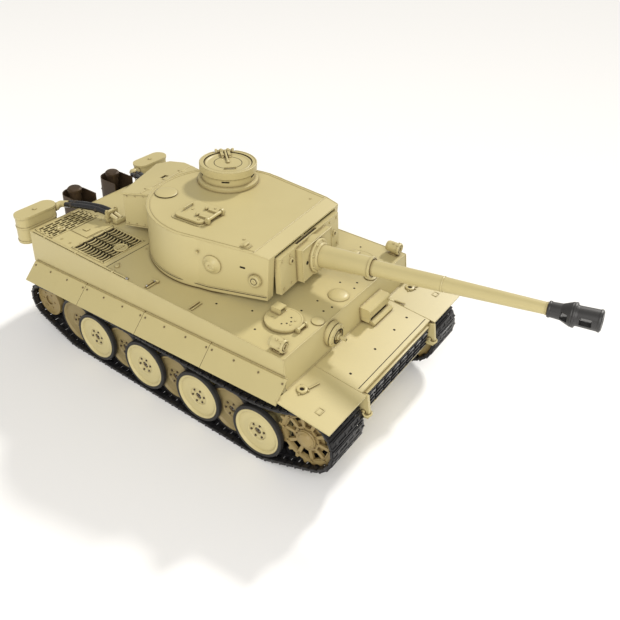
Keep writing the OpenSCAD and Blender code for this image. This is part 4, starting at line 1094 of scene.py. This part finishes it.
def tyre(bm, face):
    """One rubber tyre with rounded shoulders."""
    profile = [(22.0, -disc_width + 0.15), (23.6, -disc_width), (24.7, -disc_width + 0.5),
               (wheel_r, -disc_width + 1.4), (wheel_r, -1.4), (24.7, -0.5), (23.6, 0), (22.0, -0.15)]
    lathe(bm, profile, (0, face, 0), (0, 1, 0), 64)


def both_sides(side):
    """Leaves the left side as drawn and mirrors the right side."""
    return Matrix.Scale(side, 4, (0, 1, 0))


for side_name, side in sides.items():
    for k in range(1, 9):
        body = f"road_wheel_{side_name}_{k}"
        centre = Vector(joints[body + "_spin"]["pos_m"])
        place = Matrix.Translation((centre.x, 0, centre.z)) @ both_sides(side)
        picked = (0, 3, 4) if k % 2 else (1, 2, 5)
        discs = bmesh.new()
        rubbers = bmesh.new()
        hub_bolts_and_shade = bmesh.new()
        for count, index in enumerate(picked):
            wheel_disc(discs, disc_faces[index], count == 0)
            tyre(rubbers, disc_faces[index])
        inner_face = disc_faces[picked[2]] - disc_width
        drum(discs, (0, inner_face, 0), (0, disc_faces[picked[0]] - 4.3, 0), 5.2, steps=24)
        outer_face = disc_faces[picked[0]]
        for x, z in circle(6, 6.5, 12):
            drum(hub_bolts_and_shade, (x, outer_face - 2.9, z), (x, outer_face - 1.5, z), 1.05, 0.85, 10)
        # The hub bolts and the axle nut are dark; the dark disc at the bottom of the hub's recess is painted
        # shade.
        drum(hub_bolts_and_shade, (0, outer_face - 4.2, 0), (0, outer_face - 3.2, 0), 2.9, steps=24)
        drum(hub_bolts_and_shade, (0, outer_face - 3.3, 0), (0, outer_face - 2.4, 0), 1.3, 1.0, 6)
        piece(discs, f"wheel_discs_{side_name}_{k}", disc_paint if k % 2 else shade_paint, body,
              stands_for=(body,), place=place.copy())
        piece(rubbers, f"tyres_{side_name}_{k}", rubber, body, place=place.copy())
        piece(hub_bolts_and_shade, f"wheel_bolts_{side_name}_{k}", hub_dark_and_shade, body, place=place.copy())


# ---- Sprockets, idlers and swing arms ---------------------------------------------------
# Spoked twin-ring sprockets with bolted rims and domed hubs drive the tracks at
# the front. Cranked steel arms carry the wheels.

tan_paint = painted("sprocket_tan", (0.36, 0.27, 0.11), (0.24, 0.175, 0.07), 0.40)
repaint(tan_paint, "sprocket_right", "sprocket_left", "idler_right", "idler_left")
arm_metal = steel_finish("arm_metal", (0.30, 0.28, 0.25), 0.45)
for side_name, side in sides.items():
    for k in range(1, 9):
        repaint(arm_metal, f"swing_arm_{side_name}_{k}")
    spin = Vector(joints[f"sprocket_{side_name}_spin"]["pos_m"])
    place = Matrix.Translation((spin.x, 0, spin.z)) @ both_sides(side)
    hub = bmesh.new()
    dome = [(0.01, 4.6), (3.0, 4.4), (5.6, 3.6), (6.6, 2.4), (7.6, 1.9), (8.6, 0.8), (8.8, -0.5),
            (0.01, -0.5)]
    lathe(hub, dome, (0, 102.4, 0), (0, 1, 0), 40)
    for x, z in circle(10, 21.6):
        drum(hub, (x, 101.8, z), (x, 103.3, z), 1.0, 0.8, 8)
    for x, z in circle(10, 9.6):
        drum(hub, (x, 101.8, z), (x, 102.9, z), 0.75, 0.6, 8)
    lathe(hub, [(19.8, -0.2), (20.6, -0.2), (20.4, 0.5), (20.0, 0.5)], (0, 102.2, 0), (0, 1, 0), 56)
    piece(hub, f"sprocket_hub_{side_name}", tan_paint, f"sprocket_{side_name}",
          place=place.copy())
    spin = Vector(joints[f"idler_{side_name}_spin"]["pos_m"])
    place = Matrix.Translation((spin.x, 0, spin.z)) @ both_sides(side)
    rims = bmesh.new()
    lathe(rims, [(13.6, -0.2), (16.7, -0.2), (16.5, 0.5), (14.0, 0.5)], (0, 101.5, 0), (0, 1, 0), 56)
    for x, z in circle(6, 8.5):
        drum(rims, (x, 101.2, z), (x, 102.3, z), 0.95, 0.75, 8)
    piece(rims, f"idler_rim_{side_name}", tan_paint, f"idler_{side_name}",
          place=place.copy())


# ---- Tracks ---------------------------------------------------------------------------
# Glossy black links with two cleats across each, pinned in a loop round the
# sprocket, wheels and idler. The top run rests on the wheels and rises in a
# shallow curve to the sprocket.

link_count = 96
tooth_count, tooth_pitch = 20, 8.1
arm_lift = 3.5
idler_r = 18.2
sag = 120.0
shoe_out = 2.6
pad_in = 1.2
track_inner, track_outer = 63.0, 108.0


def belt(stations):
    """Lines and arcs of a belt round signed circles (x, z, radius): a list of (length, place)."""
    stretches = []
    turns = []
    for (x0, z0, r0), (x1, z1, r1) in zip(stations, stations[1:] + stations[:1]):
        gap = math.hypot(x1 - x0, z1 - z0)
        turns.append(math.atan2(z1 - z0, x1 - x0) + math.asin(max(-1.0, min(1.0, (r0 - r1) / gap))))
    for index, (x, z, r) in enumerate(stations):
        angle_in = turns[index - 1]
        angle_out = turns[index]
        sweep = (angle_out - angle_in) % (2 * math.pi)
        if r < 0 and sweep > 1e-9:
            sweep -= 2 * math.pi
        if abs(abs(sweep) - 2 * math.pi) < 1e-6:
            sweep = 0.0

        def arc(s, x=x, z=z, r=r, start=angle_in, sweep=sweep):
            angle = start + s / r
            return x + r * math.sin(angle), z - r * math.cos(angle), angle

        stretches.append((abs(r * sweep), arc))
        x1, z1, r1 = stations[(index + 1) % len(stations)]
        gap = math.hypot(x1 - x, z1 - z)
        length = math.sqrt(max(0.0, gap * gap - (r - r1) ** 2))

        def line(s, x=x, z=z, r=r, angle=angle_out):
            return (x + r * math.sin(angle) + s * math.cos(angle),
                    z - r * math.cos(angle) + s * math.sin(angle), angle)

        stretches.append((length, line))
    return stretches


def track_link(bm, place):
    """One link: a webbed body, two cleats outside, pads and two guide horns inside."""
    own = bmesh.new()
    half = 3.45
    for y0, y1 in ((track_inner, 67.2), (71.6, 98.8), (103.2, track_outer)):
        block(own, (-half, y0, -1.2), (half - 0.5, y1, pad_in), 0.25)
    block(own, (-half, track_inner + 0.3, -2.0), (half, track_outer - 0.3, -1.5), 0.2)
    block(own, (-half, track_inner, -shoe_out), (-half + 1.5, track_outer, -1.3), 0.3)
    block(own, (half - 2.6, track_inner + 3, -shoe_out), (half - 1.2, track_outer - 3, -1.3), 0.3)
    for y in (69.4, 78.2, 87.6, 101.0):
        block(own, (-half + 1.0, y - 1.6, -shoe_out + 0.15), (half - 1.6, y + 1.6, -1.3), 0.2)
    drum(own, (half + 0.3, track_inner, -0.2), (half + 0.3, track_outer, -0.2), 0.95, steps=8)
    for y in (94.8, 80.4):
        horn = bmesh.new()
        prism(horn, [(-2.4, 0), (2.4, 0), (1.1, pad_in + 6), (-1.1, pad_in + 6)], y - 0.95, y + 0.95)
        join(own, horn)
    own.transform(place)
    join(bm, own)


for side_name, side in sides.items():
    front = Vector(joints[f"road_wheel_{side_name}_1_spin"]["pos_m"]) / mm
    rear = Vector(joints[f"road_wheel_{side_name}_8_spin"]["pos_m"]) / mm
    drive_hub = Vector(joints[f"sprocket_{side_name}_spin"]["pos_m"]) / mm
    tail_hub = Vector(joints[f"idler_{side_name}_spin"]["pos_m"]) / mm
    wrap = wheel_r + 0.2 + pad_in
    drive_r = tooth_count * tooth_pitch / (2 * math.pi)
    top_z = rear.z + arm_lift + wrap
    sag_x = drive_hub.x - math.sqrt((sag + drive_r) ** 2 - (top_z + sag - drive_hub.z) ** 2)
    stations = [(rear.x, rear.z, wrap), (front.x, front.z, wrap), (drive_hub.x, drive_hub.z, drive_r),
                (sag_x, top_z + sag, -sag), (rear.x, rear.z + arm_lift, wrap),
                (tail_hub.x, tail_hub.z, idler_r)]
    route = belt(stations)
    # The loop starts where the lower run leaves the rearmost wheel
    route = route[1:] + route[:1]
    total = sum(length for length, _ in route)
    chain = bmesh.new()
    for index in range(link_count):
        s = (index + 0.5) * total / link_count
        for length, along in route:
            if s <= length:
                break
            s -= length
        x, z, angle = along(s)
        place = (both_sides(side) @ Matrix.Translation(Vector((x, 0, z)) * mm)
                 @ Matrix.Rotation(-angle, 4, "Y"))
        track_link(chain, place)
    piece(chain, f"track_links_{side_name}", track_black, "hull",
          stands_for=(f"track_{side_name}",))


# ---- Insides ----------------------------------------------------------------------------
# The battery, board and geared motors sit on the hull floor under the deck.

wrap_blue, drive, place = finish_of("cell_wrap", Coat_Weight=0.4)
drive("Base Color", place.noise(40.0, 1.0).mix((0.02, 0.05, 0.16, 1), (0.04, 0.09, 0.26, 1)))
drive("Roughness", place.noise(200.0, 2.0) * 0.2 + 0.25)
board, drive, place = finish_of("circuit_board", Specular_IOR_Level=0.5)
drive("Base Color", place.noise(400.0, 2.0).mix((0.01, 0.09, 0.04, 1), (0.02, 0.16, 0.07, 1)))
drive("Roughness", place.noise(400.0, 2.0) * 0.2 + 0.3)
motor_metal = steel_finish("motor_metal", (0.45, 0.45, 0.46), 0.35)
repaint(wrap_blue, "battery")
repaint(board, "circuit_board")
repaint(motor_metal, "drive_motors")
leads = bmesh.new()
for y in (-4, 4):
    bead(leads, [(-60, y, 50), (-66, y, 54), (-76, y * 1.5, 50), (-86, y * 2, 44)], 1.1, 10)
piece(leads, "battery_leads", hose_black, "hull")
